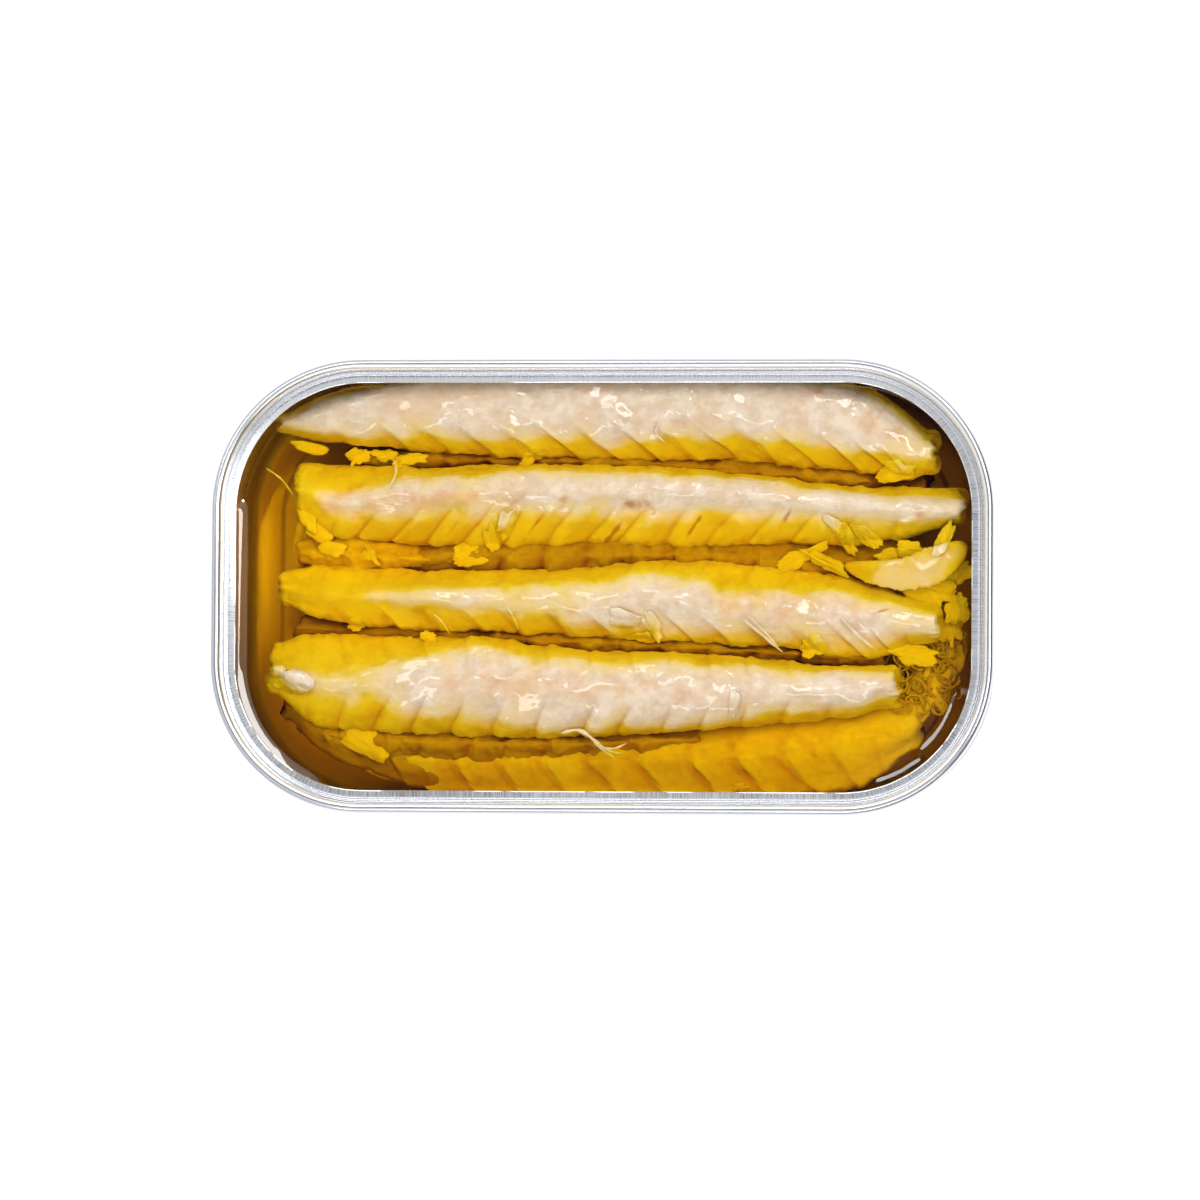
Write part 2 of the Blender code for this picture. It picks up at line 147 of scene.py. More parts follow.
def hashed(ix, iy, iz, seed):
    """A number from 0 to 1 for each lattice point."""
    h = (ix * 374761393 + iy * 668265263 + iz * 2147483647 + seed * 1274126177) & 0xFFFFFFFF
    h = ((h ^ (h >> 13)) * 1274126177) & 0xFFFFFFFF
    return ((h ^ (h >> 16)) & 0xFFFF) / 65535.0


def noise(points, size, seed):
    """Smooth noise from -1 to 1 at an (n, 3) array of points, with blobs about size across."""
    p = points / size
    base = np.floor(p).astype(np.int64)
    t = p - base
    t = t * t * t * (t * (t * 6 - 15) + 10)
    total = np.zeros(len(points))
    for corner in range(8):
        dx, dy, dz = corner & 1, corner >> 1 & 1, corner >> 2 & 1
        weight = (t[:, 0] if dx else 1 - t[:, 0]) * (t[:, 1] if dy else 1 - t[:, 1])
        weight *= t[:, 2] if dz else 1 - t[:, 2]
        total += weight * hashed(base[:, 0] + dx, base[:, 1] + dy, base[:, 2] + dz, seed)
    return total * 2 - 1


def fractal(points, size, seed):
    """Noise with finer noise on top."""
    total = np.zeros(len(points))
    for octave in range(OCTAVES):
        total += noise(points, size / 2**octave, seed + 17 * octave) / 2**octave
    return total


def smooth_step(low, high, value):
    t = np.clip((value - low) / (high - low), 0.0, 1.0)
    return t * t * (3 - 2 * t)


# %% Materials
def linear(r, g, b):
    """A colour given in screen values from 0 to 255, as the shader wants it."""
    out = []
    for c in (r, g, b):
        c = c / 255
        out.append(c / 12.92 if c <= 0.04045 else ((c + 0.055) / 1.055) ** 2.4)
    return (*out, 1.0)


class Nodes:
    """A node tree, with one short call for each kind of node."""

    def __init__(self, tree):
        self.tree = tree

    def feed(self, socket, value):
        """Links another node's output, or sets a plain number or colour."""
        if isinstance(value, bpy.types.NodeSocket):
            self.tree.links.new(value, socket)
        else:
            socket.default_value = value

    def node(self, kind, **inputs):
        made = self.tree.nodes.new(kind)
        for key, value in inputs.items():
            self.feed(made.inputs[key.replace("_", " ")], value)
        return made

    def noise(self, vector, scale, detail, roughness=0.55):
        made = self.node("ShaderNodeTexNoise", Vector=vector, Scale=scale, Detail=detail, Roughness=roughness)
        return made.outputs["Fac"]

    def math(self, operation, first, second=0.0, clamp=False):
        made = self.node("ShaderNodeMath")
        made.operation = operation
        made.use_clamp = clamp
        for socket, value in zip(made.inputs, (first, second)):
            self.feed(socket, value)
        return made.outputs[0]

    def span(self, value, low, high, to_low=0.0, to_high=1.0, kind="SMOOTHSTEP"):
        made = self.node("ShaderNodeMapRange", Value=value)
        made.interpolation_type = kind
        for key, number in (("From Min", low), ("From Max", high), ("To Min", to_low), ("To Max", to_high)):
            made.inputs[key].default_value = number
        return made.outputs["Result"]

    def ramp(self, value, stops):
        made = self.node("ShaderNodeValToRGB", Fac=value)
        ramp = made.color_ramp
        while len(ramp.elements) < len(stops):
            ramp.elements.new(0.5)
        for element, (place, colour) in zip(ramp.elements, stops):
            element.position = place
            element.color = (*colour, 1)
        return made.outputs["Color"]

    def mix(self, factor, first, second, blend="MIX"):
        made = self.node("ShaderNodeMix")
        made.data_type = "RGBA"
        made.blend_type = blend
        for socket, value in zip((made.inputs[0], made.inputs[6], made.inputs[7]), (factor, first, second)):
            self.feed(socket, value)
        return made.outputs[2]


class Shade(Nodes):
    """A material with a Principled shader."""

    def __init__(self, name):
        self.mat = bpy.data.materials.new(name)
        self.mat.use_nodes = True
        super().__init__(self.mat.node_tree)
        self.shader = self.tree.nodes["Principled BSDF"]
        self.out = self.tree.nodes["Material Output"]

    def set(self, **values):
        for key, value in values.items():
            self.shader.inputs[key.replace("_", " ")].default_value = value

    def link(self, source, target):
        self.tree.links.new(source, self.shader.inputs[target])

    def attribute(self, name):
        source = self.node("ShaderNodeAttribute")
        source.attribute_name = name
        return source.outputs

    def value(self, name):
        return self.attribute(name)["Fac"]

    def position(self, scale=(1, 1, 1), attribute=None):
        """Where the point is on the piece, or what an attribute keeps, times a scale."""
        if attribute:
            vector = self.attribute(attribute)["Vector"]
        else:
            vector = self.node("ShaderNodeTexCoord").outputs["Object"]
        return self.node("ShaderNodeMapping", Vector=vector, Scale=scale).outputs["Vector"]

    def bump(self, height, strength, distance):
        made = self.node("ShaderNodeBump", Height=height, Strength=strength, Distance=distance)
        return made.outputs["Normal"]


# %% [markdown]
# ## The tin: one profile swept round a rounded rectangle
# A drawn tin and its seamed lid have the same section all the way round, so both are one profile, carried
# along a straight side and then spun a quarter turn, four times. Modelling the ring by hand and bevelling it
# would never give an even seam. Spinning does, and the sheet then gets its thickness inwards.

# %% The sweep
CORNER_STEPS = 40
# A corner's length along the seam's outside, and the whole way round
QUARTER = CORNER_RADIUS * math.pi / 2
ROUND_RIM = 4 * (HALF_X + HALF_Y + QUARTER)
SHARP_ANGLE = math.radians(50)


def sweep_round(profile, side_steps):
    """Sweeps a profile of (inset from the seam's outside, height) round the tin, outer side facing out."""
    bm = bmesh.new()
    verts = [bm.verts.new((HALF_X + CORNER_RADIUS - d, -HALF_Y, z)) for d, z in profile]
    front = [bm.edges.new(pair) for pair in zip(verts, verts[1:])]
    corners = [(HALF_X, HALF_Y), (-HALF_X, HALF_Y), (-HALF_X, -HALF_Y), (HALF_X, -HALF_Y)]
    sides = [(0, 2 * HALF_Y), (-2 * HALF_X, 0), (0, -2 * HALF_Y), (2 * HALF_X, 0)]
    for (cx, cy), (dx, dy) in zip(corners, sides):
        for _ in range(side_steps):
            moved = bmesh.ops.extrude_edge_only(bm, edges=front)["geom"]
            ends = [item for item in moved if isinstance(item, bmesh.types.BMVert)]
            bmesh.ops.translate(bm, vec=(dx / side_steps, dy / side_steps, 0), verts=ends)
            front = [item for item in moved if isinstance(item, bmesh.types.BMEdge)]
        spin = dict(cent=(cx, cy, 0), axis=(0, 0, 1), angle=math.pi / 2, steps=CORNER_STEPS)
        turned = bmesh.ops.spin(bm, geom=ends + front, **spin)["geom_last"]
        front = [item for item in turned if isinstance(item, bmesh.types.BMEdge)]
    bmesh.ops.remove_doubles(bm, verts=bm.verts, dist=0.002 * MM)
    bmesh.ops.recalc_face_normals(bm, faces=bm.faces)
    return bm


def arc(cx, cz, rx, rz, start, end, count):
    """Points on a stretch of an ellipse, with angles in degrees."""
    angles = np.radians(np.linspace(start, end, count))
    return [(cx + rx * math.cos(a), cz + rz * math.sin(a)) for a in angles]


def rim_place(x, y):
    """Where a point lies round the rim, as a length from the middle of the +X side."""
    cx, cy = max(-HALF_X, min(HALF_X, x)), max(-HALF_Y, min(HALF_Y, y))
    turn = math.atan2(y - cy, x - cx) % (2 * math.pi)
    sector = int(turn / (math.pi / 2) + 1e-6) % 4
    within = (turn - sector * math.pi / 2) / (math.pi / 2) * QUARTER
    before = (
        cy,
        HALF_Y + QUARTER + (HALF_X - cx),
        HALF_Y + 2 * QUARTER + 2 * HALF_X + (HALF_Y - cy),
        3 * HALF_Y + 3 * QUARTER + 2 * HALF_X + (cx + HALF_X),
    )
    return (before[sector] + within) % ROUND_RIM


def mark_rim(mesh):
    """Keeps each point's place round the rim, bent into a circle as long as the rim, and its height.
    A scratch read from there runs across the rim's width everywhere."""
    marks = mesh.attributes.new("rim", "FLOAT_VECTOR", "POINT")
    radius = ROUND_RIM / (2 * math.pi)
    for vert, mark in zip(mesh.vertices, marks.data):
        angle = rim_place(vert.co.x, vert.co.y) / radius
        mark.vector = (radius * math.cos(angle), radius * math.sin(angle), vert.co.z)


print("once round the rim, mm:", round(ROUND_RIM / MM, 1))

# %% [markdown]
# ## The metal
# Aluminium is never evenly bright: handling leaves faint worn patches, and the score that the lid tore along
# was pressed in by a tool that brushed the flange across its width. Roughness and a very small bump carry the
# lines. They are read from the place round the rim, not from space, so they follow the corners. The inner
# face under the oil is painted gold for the light that the oil tints, with painted bands of light and shade
# in it, and the seam's outer curl is darkened as painted shade.

# %% Two aluminium finishes
# Painted gold on the inner face under the oil, for the light that the oil tints: its shaded tone and its lit
# tone
SHADED_OIL_GOLD = (0.60, 0.44, 0.05, 1.0)
LIT_OIL_GOLD = (0.90, 0.80, 0.25, 1.0)
# What the seam's outermost curl is multiplied by, as painted shade
OUTER_CURL_SHADE = (0.62, 0.63, 0.65, 1.0)


def aluminium(name, colour, roughness, scratch_scale, scratch_strength, wear_scale):
    shade = Shade(name)
    round_rim = shade.position(scale=(scratch_scale, scratch_scale, scratch_scale * 0.06), attribute="rim")
    scratches = shade.noise(round_rim, 1.0, detail=4.0, roughness=0.7)
    wear = shade.noise(shade.position(), wear_scale, detail=4.0, roughness=0.6)
    brushed = shade.value("brushed")
    tone = shade.math("ADD", shade.math("MULTIPLY", scratches, brushed), shade.math("MULTIPLY", wear, 0.5))
    dark = tuple(c * 0.93 for c in colour[:3]) + (1.0,)
    metal = shade.mix(shade.span(tone, 0.2, 0.85), dark, colour)
    # painted shade on the seam's outer curl
    metal = shade.mix(shade.value("outer"), metal, shade.mix(1.0, metal, OUTER_CURL_SHADE, "MULTIPLY"))
    # painted gold under the oil, standing in for the light that the oil tints, brighter in painted lit bands
    # and duller in painted shaded ones
    lit_band = shade.value("lit_band")
    golden = shade.mix(lit_band, SHADED_OIL_GOLD, LIT_OIL_GOLD)
    under_oil = shade.value("under_oil")
    shade.link(shade.mix(under_oil, metal, golden), "Base Color")
    wet_metallic = shade.span(lit_band, 0.0, 1.0, 0.6, 0.15)
    dry = shade.math("SUBTRACT", 1.0, under_oil)
    shade.link(shade.math("ADD", dry, shade.math("MULTIPLY", under_oil, wet_metallic)), "Metallic")
    rough = shade.math("MULTIPLY", shade.span(scratches, 0.3, 0.75, 0.01, 0.09), brushed)
    rough = shade.math("ADD", rough, shade.span(wear, 0.35, 0.7, 0, 0.03))
    shade.link(shade.math("ADD", rough, roughness), "Roughness")
    height = shade.math("MULTIPLY", scratches, brushed)
    shade.link(shade.bump(height, scratch_strength, 0.02 * MM), "Normal")
    return shade.mat


body_metal = aluminium("drawn_aluminium", linear(168, 171, 177), 0.36, 700, 0.02, 90)
lid_metal = aluminium("brushed_aluminium", linear(250, 251, 254), 0.22, 5200, 0.03, 140)
print("metals:", body_metal.name, lid_metal.name)

# %% [markdown]
# ## The drawn body
# One sheet: a side with a slight draft, a rounded foot, a flat ring that the tin stands on, a small step up
# and the base panel. The sheet is swept, its panel filled, and then thickened inwards by the plate.

# %% Body
FOOT_POINTS = 9
# Painted bands of light and shade on the inner face under the oil: distance from the seam's outside in
# millimetres, and how lit the band is from 0 to 1
PAINTED_LIGHT_BANDS = [
    (1.6, 0.10), (2.2, 0.25), (2.6, 0.95), (3.3, 0.95), (3.7, 0.2), (4.2, 0.2),
    (4.8, 1.0), (7.4, 1.0), (9.0, 0.5),
]
# How much of that painted light is used
PAINTED_LIGHT_SHARE = 0.5
# How far inside the seam's outside the body's side begins
SIDE_INSET = 0.55 * MM


def mark_under_oil(mesh):
    """Marks the inner face below the oil's level, and painted bands of light and shade on it, which are the
    same all the way round."""
    places, band_light = zip(*PAINTED_LIGHT_BANDS)
    under, lit_band = [], []
    for vert in mesh.vertices:
        x, y, z = vert.co
        inside = vert.normal.z > 0.1 or (vert.normal.x * x + vert.normal.y * y < 0 and vert.normal.z > -0.1)
        under.append(inside and z < OIL_LEVEL + 0.5 * MM)
        over_x, over_y = abs(x) - HALF_X, abs(y) - HALF_Y
        inset = CORNER_RADIUS - math.hypot(max(over_x, 0), max(over_y, 0)) - min(max(over_x, over_y), 0)
        lit_band.append(np.interp(inset / MM, places, band_light) * PAINTED_LIGHT_SHARE)
    add_mark(mesh, "under_oil", under)
    add_mark(mesh, "lit_band", lit_band)


def wall_inset(height):
    share = (BODY_TOP - height) / (BODY_TOP - FOOT_RADIUS)
    return SIDE_INSET + DRAFT * share


def body_side(offset, top):
    """The body's profile from its top down to the base panel, moved inwards by an offset."""
    foot = FOOT_RADIUS - offset
    centre = wall_inset(FOOT_RADIUS) + FOOT_RADIUS
    ring_end = centre + BASE_RING - offset
    points = [(wall_inset(h) + offset, h) for h in np.linspace(top, FOOT_RADIUS, 12)[:-1]]
    points += arc(centre, FOOT_RADIUS, foot, foot, 180, 270, FOOT_POINTS)
    points.append((ring_end - 0.15 * MM, offset))
    points.append((ring_end + 0.10 * MM, offset + 0.08 * MM))
    points.append((ring_end + PANEL_STEP - 0.10 * MM, PANEL_RISE + offset - 0.08 * MM))
    points.append((ring_end + PANEL_STEP + 0.15 * MM, PANEL_RISE + offset))
    return points


def build_body():
    bm = sweep_round(body_side(0.0, BODY_TOP), side_steps=28)
    base = [e for e in bm.edges if e.is_boundary and e.verts[0].co.z < TIN_HEIGHT / 2]
    panel = bmesh.ops.holes_fill(bm, edges=base)["faces"]
    inner = bmesh.ops.inset_region(bm, faces=panel, thickness=3.0 * MM)["faces"]
    bmesh.ops.recalc_face_normals(bm, faces=bm.faces)
    if sum(f.normal.z * f.calc_area() for f in panel) > 0:
        bmesh.ops.reverse_faces(bm, faces=bm.faces)
    bmesh.ops.solidify(bm, geom=bm.faces, thickness=PLATE)
    ob = add_piece("drawn_body", bm, body_metal)
    mark_rim(ob.data)
    mark_under_oil(ob.data)
    ob.data.set_sharp_from_angle(angle=SHARP_ANGLE)
    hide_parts("tin_body")
    return ob


body = build_body()
print("body triangles:", triangles(body))

# %% [markdown]
# ## What the ring-pull leaves of the lid
# The lid's edge hooks over the body's, is rolled flat outside as the seam, dives down as the chuck wall,
# turns in the countersink groove and ends in a narrow flange, torn along the score. The torn edge isn't quite
# even, so its last rows of points are nudged.

# %% Lid ring
# Insets from the seam's outside: where the brushed flange begins, and where the painted shade on the outer
# curl ends
BRUSHED_FROM = 1.9 * MM
SHADED_CURL_TO = 0.95 * MM


def lid_profile():
    """The lid's upper face from the hook's end, over the crown, to the torn edge."""
    crown = TIN_HEIGHT
    shoulder = 0.62 * MM
    half = SEAM_THICKNESS / 2
    groove_in, groove_out = SEAM_THICKNESS + 0.07 * MM, SEAM_THICKNESS + 0.58 * MM
    groove_mid = (groove_in + groove_out) / 2
    curl = 0.30 * MM
    dip = 0.30 * MM
    points = arc(curl, crown - SEAM_HEIGHT + curl, curl, curl, 270, 180, 5)
    points += [(0.0, crown - SEAM_HEIGHT * 0.55)]
    points += arc(half, crown - shoulder, half, shoulder, 180, 0, 15)
    points += [(SEAM_THICKNESS + 0.03 * MM, crown - GROOVE_DEPTH * 0.55)]
    points += arc(groove_mid, crown - GROOVE_DEPTH + dip, groove_out - groove_mid, dip, 180, 360, 9)
    bend = 0.16 * MM
    points += arc(groove_out + bend, crown - FLANGE_DEPTH - bend, bend, bend, 180, 90, 5)
    flat = groove_out + bend
    fall = math.tan(math.radians(FLANGE_FALL))
    for share in (0.3, 0.6, 0.85, 0.96):
        inset = flat + (OPENING_INSET - flat) * share
        points.append((inset, crown - FLANGE_DEPTH - (inset - flat) * fall))
    points.append((OPENING_INSET, points[-1][1] - 0.05 * MM))
    return points


def build_lid():
    bm = sweep_round(lid_profile(), side_steps=40)
    torn = [e for e in bm.edges if e.is_boundary and e.verts[0].co.z < TIN_HEIGHT - FLANGE_DEPTH + 0.1 * MM]
    torn = {v for e in torn for v in e.verts if v.co.z > TIN_HEIGHT - SEAM_HEIGHT + 0.2 * MM}
    spots = np.array([v.co for v in torn])
    nudge = noise(spots, 1.6 * MM, 3) * 0.035 * MM + noise(spots, 0.5 * MM, 4) * 0.02 * MM
    for vert, amount in zip(torn, nudge):
        vert.co.z += amount
    bmesh.ops.recalc_face_normals(bm, faces=bm.faces)
    crown = max(bm.faces, key=lambda f: f.calc_center_median().z)
    if crown.normal.z < 0:
        bmesh.ops.reverse_faces(bm, faces=bm.faces)
    bmesh.ops.solidify(bm, geom=bm.faces, thickness=PLATE)
    ob = add_piece("lid_rest", bm, lid_metal)
    mark_rim(ob.data)
    beyond = np.clip(np.abs(points_of(ob.data)[:, :2]) - (HALF_X, HALF_Y), 0, None)
    inset = CORNER_RADIUS - np.hypot(beyond[:, 0], beyond[:, 1])
    add_mark(ob.data, "brushed", inset > BRUSHED_FROM)
    # how much painted shade the outer curl gets
    add_mark(ob.data, "outer", smooth_step(SHADED_CURL_TO, 0.3 * SHADED_CURL_TO, inset))
    ob.data.set_sharp_from_angle(angle=SHARP_ANGLE)
    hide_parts("lid_ring")
    return ob


lid = build_lid()
print("lid ring triangles:", triangles(lid))

# %% [markdown]
# ## The fish
# A cooked mackerel fillet is a row of muscle segments that lie over each other like tiles. Their seams lean
# away from the crest on both flanks. Sculpting each by hand would be slow, and a displaced cylinder would
# look like a sausage. Here a grid is rolled into a tube whose sections come from a few rows of numbers, the
# grid's columns follow the lean of the seams, and noise tears the surface. The same rows build the solids.

# %% Fillet sections
EDGE_DEPTH = 2.9 * MM
FILLET_DEPTH = 9.5
SUNK_DEPTH = (OIL_LEVEL - PANEL_RISE - PLATE) / MM - 0.35
SHOULDER_DROP = 0.8 * MM
EDGE_DROP = 2.0 * MM
UPPER_LEAN = 0.6

# Each fillet has the length of a segment, the lean of its seams, the depth of its underside and then rows of
# the place along the tin, lower edge, lower shoulder, upper shoulder and upper edge across it, and the height
# of the crest over the oil, all in millimetres.
FILLETS = {
    "fillet_1": (5.3, 1.30, FILLET_DEPTH, [
        (-43.4, 20.9, 21.5, 23.1, 23.8, 0.0),
        (-38.5, 19.9, 20.9, 25.2, 26.5, 0.8),
        (-31.0, 18.9, 20.8, 27.3, 28.5, 1.5),
        (-18.0, 17.9, 20.3, 28.0, 28.9, 1.9),
        (12.0, 17.4, 20.2, 28.0, 28.9, 2.0),
        (28.0, 15.8, 18.7, 26.6, 28.0, 1.6),
        (38.0, 14.7, 17.0, 22.8, 24.3, 1.2),
        (43.2, 15.6, 16.9, 20.0, 21.2, 0.6),
    ]),
    "fillet_2": (5.4, -0.90, FILLET_DEPTH, [
        (-41.0, 10.0, 11.3, 15.3, 17.0, -0.6),
        (-36.5, 7.3, 10.2, 13.0, 16.7, 0.2),
        (-27.5, 6.6, 10.5, 14.4, 16.2, 0.9),
        (-10.0, 6.2, 10.3, 15.5, 16.7, 1.4),
        (4.0, 6.2, 10.4, 15.6, 16.6, 1.6),
        (20.0, 6.3, 10.2, 14.6, 15.6, 1.4),
        (37.0, 6.4, 9.3, 12.5, 13.5, 1.2),
        (46.9, 8.9, 9.8, 12.0, 13.7, 0.7),
    ]),
    "fillet_3": (5.5, 1.10, FILLET_DEPTH, [
        (-43.2, -2.2, -1.2, 1.3, 2.4, -1.5),
        (-39.0, -4.3, -2.6, 1.3, 3.0, -0.7),
        (-30.0, -5.4, -2.6, 0.4, 2.6, 0.1),
        (-16.5, -5.6, -3.1, 0.5, 2.6, 0.7),
        (-4.0, -6.5, -4.5, 1.4, 2.8, 1.2),
        (6.0, -6.9, -4.5, 2.3, 3.8, 1.5),
        (19.0, -7.8, -5.4, 0.5, 3.1, 1.3),
        (31.0, -8.9, -5.8, 0.0, 1.3, 1.3),
        (44.0, -7.0, -6.0, -3.0, -1.7, 0.9),
    ]),
    "fillet_4": (5.4, -0.55, FILLET_DEPTH, [
        (-44.4, -14.3, -13.0, -9.4, -7.4, -0.5),
        (-39.5, -17.6, -14.6, -11.0, -6.5, 0.3),
        (-31.0, -18.6, -14.8, -10.2, -6.6, 0.8),
        (-16.5, -19.4, -17.0, -8.2, -6.6, 1.5),
        (-5.0, -19.8, -18.3, -9.2, -8.0, 1.8),
        (14.0, -19.0, -17.7, -9.8, -8.9, 1.9),
        (27.0, -17.7, -16.3, -10.9, -9.9, 1.7),
        (38.3, -16.0, -14.8, -11.1, -10.0, 1.4),
    ]),
    "fillet_5": (6.4, 1.07, SUNK_DEPTH, [
        (-40.5, -19.5, -18.6, -17.2, -16.4, -5.2),
        (-36.0, -23.6, -22.0, -18.4, -16.8, -4.6),
        (-25.0, -27.0, -25.4, -20.3, -17.2, -4.2),
        (-10.0, -27.8, -26.0, -20.2, -17.0, -3.8),
        (10.0, -28.0, -26.0, -19.6, -16.6, -3.5),
        (25.0, -27.2, -25.0, -18.6, -15.4, -3.2),
        (34.0, -25.4, -23.2, -17.4, -14.0, -3.0),
        (41.0, -21.4, -20.2, -16.4, -13.6, -3.2),
    ]),
}
# What shows of the layer below, in the gaps
SUNK = {
    "sunk_middle": (5.8, -0.6, 12, [
        (-26.0, 2.6, 3.6, 5.4, 6.6, -3.4),
        (-14.0, 2.4, 3.5, 5.8, 7.4, -2.5),
        (0.0, 2.3, 3.6, 5.6, 7.2, -2.2),
        (14.0, 2.4, 3.6, 5.4, 7.0, -2.3),
        (26.0, 1.2, 2.6, 5.0, 7.0, -2.6),
        (38.0, 0.6, 2.2, 4.8, 6.8, -3.0),
    ]),
    "sunk_left": (5.0, 0.8, 12, [
        (-41.2, 3.2, 3.9, 5.6, 6.4, -3.4),
        (-37.0, 2.6, 3.8, 5.8, 7.2, -2.5),
        (-30.0, 2.9, 3.6, 5.0, 6.6, -2.4),
        (-24.5, 3.1, 3.5, 4.4, 5.4, -3.2),
    ]),
    "sunk_ledge": (5.8, -0.5, 12, [
        (-37.0, -21.6, -20.8, -19.0, -17.6, -3.6),
        (-28.0, -22.8, -21.6, -19.6, -18.0, -2.8),
        (-14.0, -22.8, -21.8, -20.0, -18.6, -2.7),
        (0.0, -22.6, -21.6, -20.0, -18.8, -2.8),
        (12.0, -21.8, -20.8, -19.4, -18.2, -3.2),
    ]),
    "sunk_corner": (4.6, 0.9, 12, [
        (-43.0, -17.6, -16.8, -14.6, -13.4, -4.6),
        (-40.0, -21.4, -20.2, -16.4, -14.6, -3.7),
        (-35.0, -24.4, -22.8, -18.6, -16.6, -3.5),
        (-28.0, -26.6, -25.2, -21.0, -18.6, -3.9),
        (-19.0, -27.4, -26.4, -23.0, -20.6, -4.6),
    ]),
    "sunk_back": (6.0, 0.8, 12, [
        (-34.0, 16.2, 16.8, 18.6, 19.6, -4.2),
        (0.0, 16.0, 16.4, 17.8, 18.4, -2.7),
        (30.0, 13.6, 14.2, 15.8, 16.8, -2.7),
        (42.0, 12.4, 13.0, 14.8, 16.0, -4.6),
    ]),
    "sunk_front": (6.0, -0.8, 12, [
        (-41.0, -7.4, -6.6, -4.2, -3.4, -4.6),
        (0.0, -8.6, -8.0, -6.6, -6.0, -2.9),
        (36.0, -10.4, -9.8, -8.6, -7.8, -2.9),
    ]),
}


def along(rows, x):
    """Reads a smooth curve through the rows at each x of an array. Gives one column for each value."""
    rows = np.array(rows)
    i = np.clip(np.searchsorted(rows[:, 0], x) - 1, 0, len(rows) - 2)
    here, there = rows[i], rows[i + 1]
    before, after = rows[np.maximum(i - 1, 0)], rows[np.minimum(i + 2, len(rows) - 1)]
    span = (there[:, 0] - here[:, 0])[:, None]
    t = np.clip((x - here[:, 0])[:, None] / span, 0, 1)
    start = (there - before) / (there[:, :1] - before[:, :1]) * span
    end = (after - here) / (after[:, :1] - here[:, :1]) * span
    values = (
        (2 * t**3 - 3 * t**2 + 1) * here
        + (t**3 - 2 * t**2 + t) * start
        + (3 * t**2 - 2 * t**3) * there
        + (t**3 - t**2) * end
    )
    return values[:, 1:] * MM


def sections(rows, x, floor, rise):
    """Eight control points (y, z over the oil) of the section at each x, from the upper edge round. The upper
    shoulder may rise out of the oil."""
    low_edge, low, high, high_edge, crest = along(rows, x).T
    shoulder = np.minimum(0.0, crest - SHOULDER_DROP)
    far_shoulder = np.minimum(rise, crest - SHOULDER_DROP)
    edge = np.minimum(-EDGE_DEPTH, crest - EDGE_DROP)
    middle = (low + high) / 2
    belly = (edge - floor) / 2 - 0.12 * floor
    floor = np.full_like(edge, -floor)
    ys = [high_edge, high, middle, low, low_edge, low_edge + (middle - low_edge) * 0.22, middle,
          high_edge + (middle - high_edge) * 0.22]
    zs = [edge, far_shoulder, crest, shoulder, edge, belly, floor, belly]
    return np.stack(ys, 1), np.stack(zs, 1)


def round_curve(values, turn):
    """A smooth closed curve through the columns of values, read at turn from 0 to 1."""
    count = values.shape[1]
    place = turn * count
    i = np.floor(place).astype(int)
    t = place - i
    rows = np.arange(len(values))
    p0, p1, p2, p3 = (values[rows, (i + k - 1) % count] for k in range(4))
    return 0.5 * (
        2 * p1 + (p2 - p0) * t + (2 * p0 - 5 * p1 + 4 * p2 - p3) * t**2 + (3 * p1 - p0 - 3 * p2 + p3) * t**3
    )


# %% [markdown]
# ## Stains
# Dark muscle and blood show through the cooked flesh in a few places. Each is an oval with a ragged edge.

# %% Dark muscle and blood spots
# Middle (x, y), length, width in millimetres, turn in degrees and strength. Over one half they are dark.
STAINS = [
    ((-26.1, 11.4), 27, 3.4, 2, 0.5), ((-34.8, 12.9), 6, 1.5, 20, 0.5), ((-5.5, 11.8), 2.6, 0.8, 62, 0.55),
    ((-12.1, 11.5), 3.6, 0.7, 32, 0.6), ((3.5, 11.1), 2.6, 1.5, 15, 0.8), ((6.0, 11.0), 3.2, 1.0, -50, 0.6),
    ((24.5, 9.8), 3.6, 0.6, 60, 0.9), ((-9.5, 8.6), 4.6, 0.5, 50, 0.8), ((0.9, 7.4), 4.2, 0.6, 50, 1.0),
    ((11.9, 8.4), 4.2, 0.55, 55, 0.9), ((42.5, 9.8), 1.8, 1.3, 0, 0.65), ((-20.0, 9.0), 4.4, 0.45, 52, 0.6),
    ((9.9, 21.8), 3.2, 1.6, 0, 0.45), ((3.9, 22.2), 2.8, 1.6, 0, 0.42), ((-6.8, 21.8), 2.6, 1.5, 0, 0.4),
    ((35.2, 22.2), 5.5, 2.8, 0, 0.48), ((38.6, 21.0), 3.2, 2.2, 0, 0.5), ((-2.0, 26.6), 7.0, 0.9, 0, 0.5),
    ((29.4, 26.2), 4.5, 1.1, -10, 0.6), ((25.0, -2.6), 22, 5.0, -5, 0.4), ((40.0, -6.9), 5.5, 1.6, -45, 0.5),
    ((-4.1, -3.1), 2.2, 1.6, 0, 0.5), ((18.5, -2.8), 4.5, 2.2, -20, 0.5), ((37.3, -3.0), 2.6, 0.35, 15, 0.9),
    ((-14.5, -13.0), 3.6, 0.8, 35, 0.55), ((-0.8, -13.3), 2.8, 1.8, 0, 0.5),
    ((2.2, -13.5), 2.2, 1.6, 0, 0.45), ((11.0, -14.2), 5.5, 2.8, 0, 0.42),
    ((17.9, -14.9), 1.6, 4.4, 0, 0.5), ((-7.5, -13.0), 42, 4.4, 2, 0.32),
]


def stains(points, seed):
    total = np.zeros(len(points))
    wobble = 0.55 * noise(points, 1.6 * MM, seed) + 0.35 * noise(points, 0.6 * MM, seed + 1)
    for (x, y), length, width, turn, strength in STAINS:
        dx, dy = points[:, 0] / MM - x, points[:, 1] / MM - y
        c, s = math.cos(math.radians(turn)), math.sin(math.radians(turn))
        reach = np.hypot((c * dx + s * dy) / length * 2, (c * dy - s * dx) / width * 2) + wobble
        total = np.maximum(total, strength * smooth_step(1.5, 0.1, reach))
    return total


print("stains:", len(STAINS))
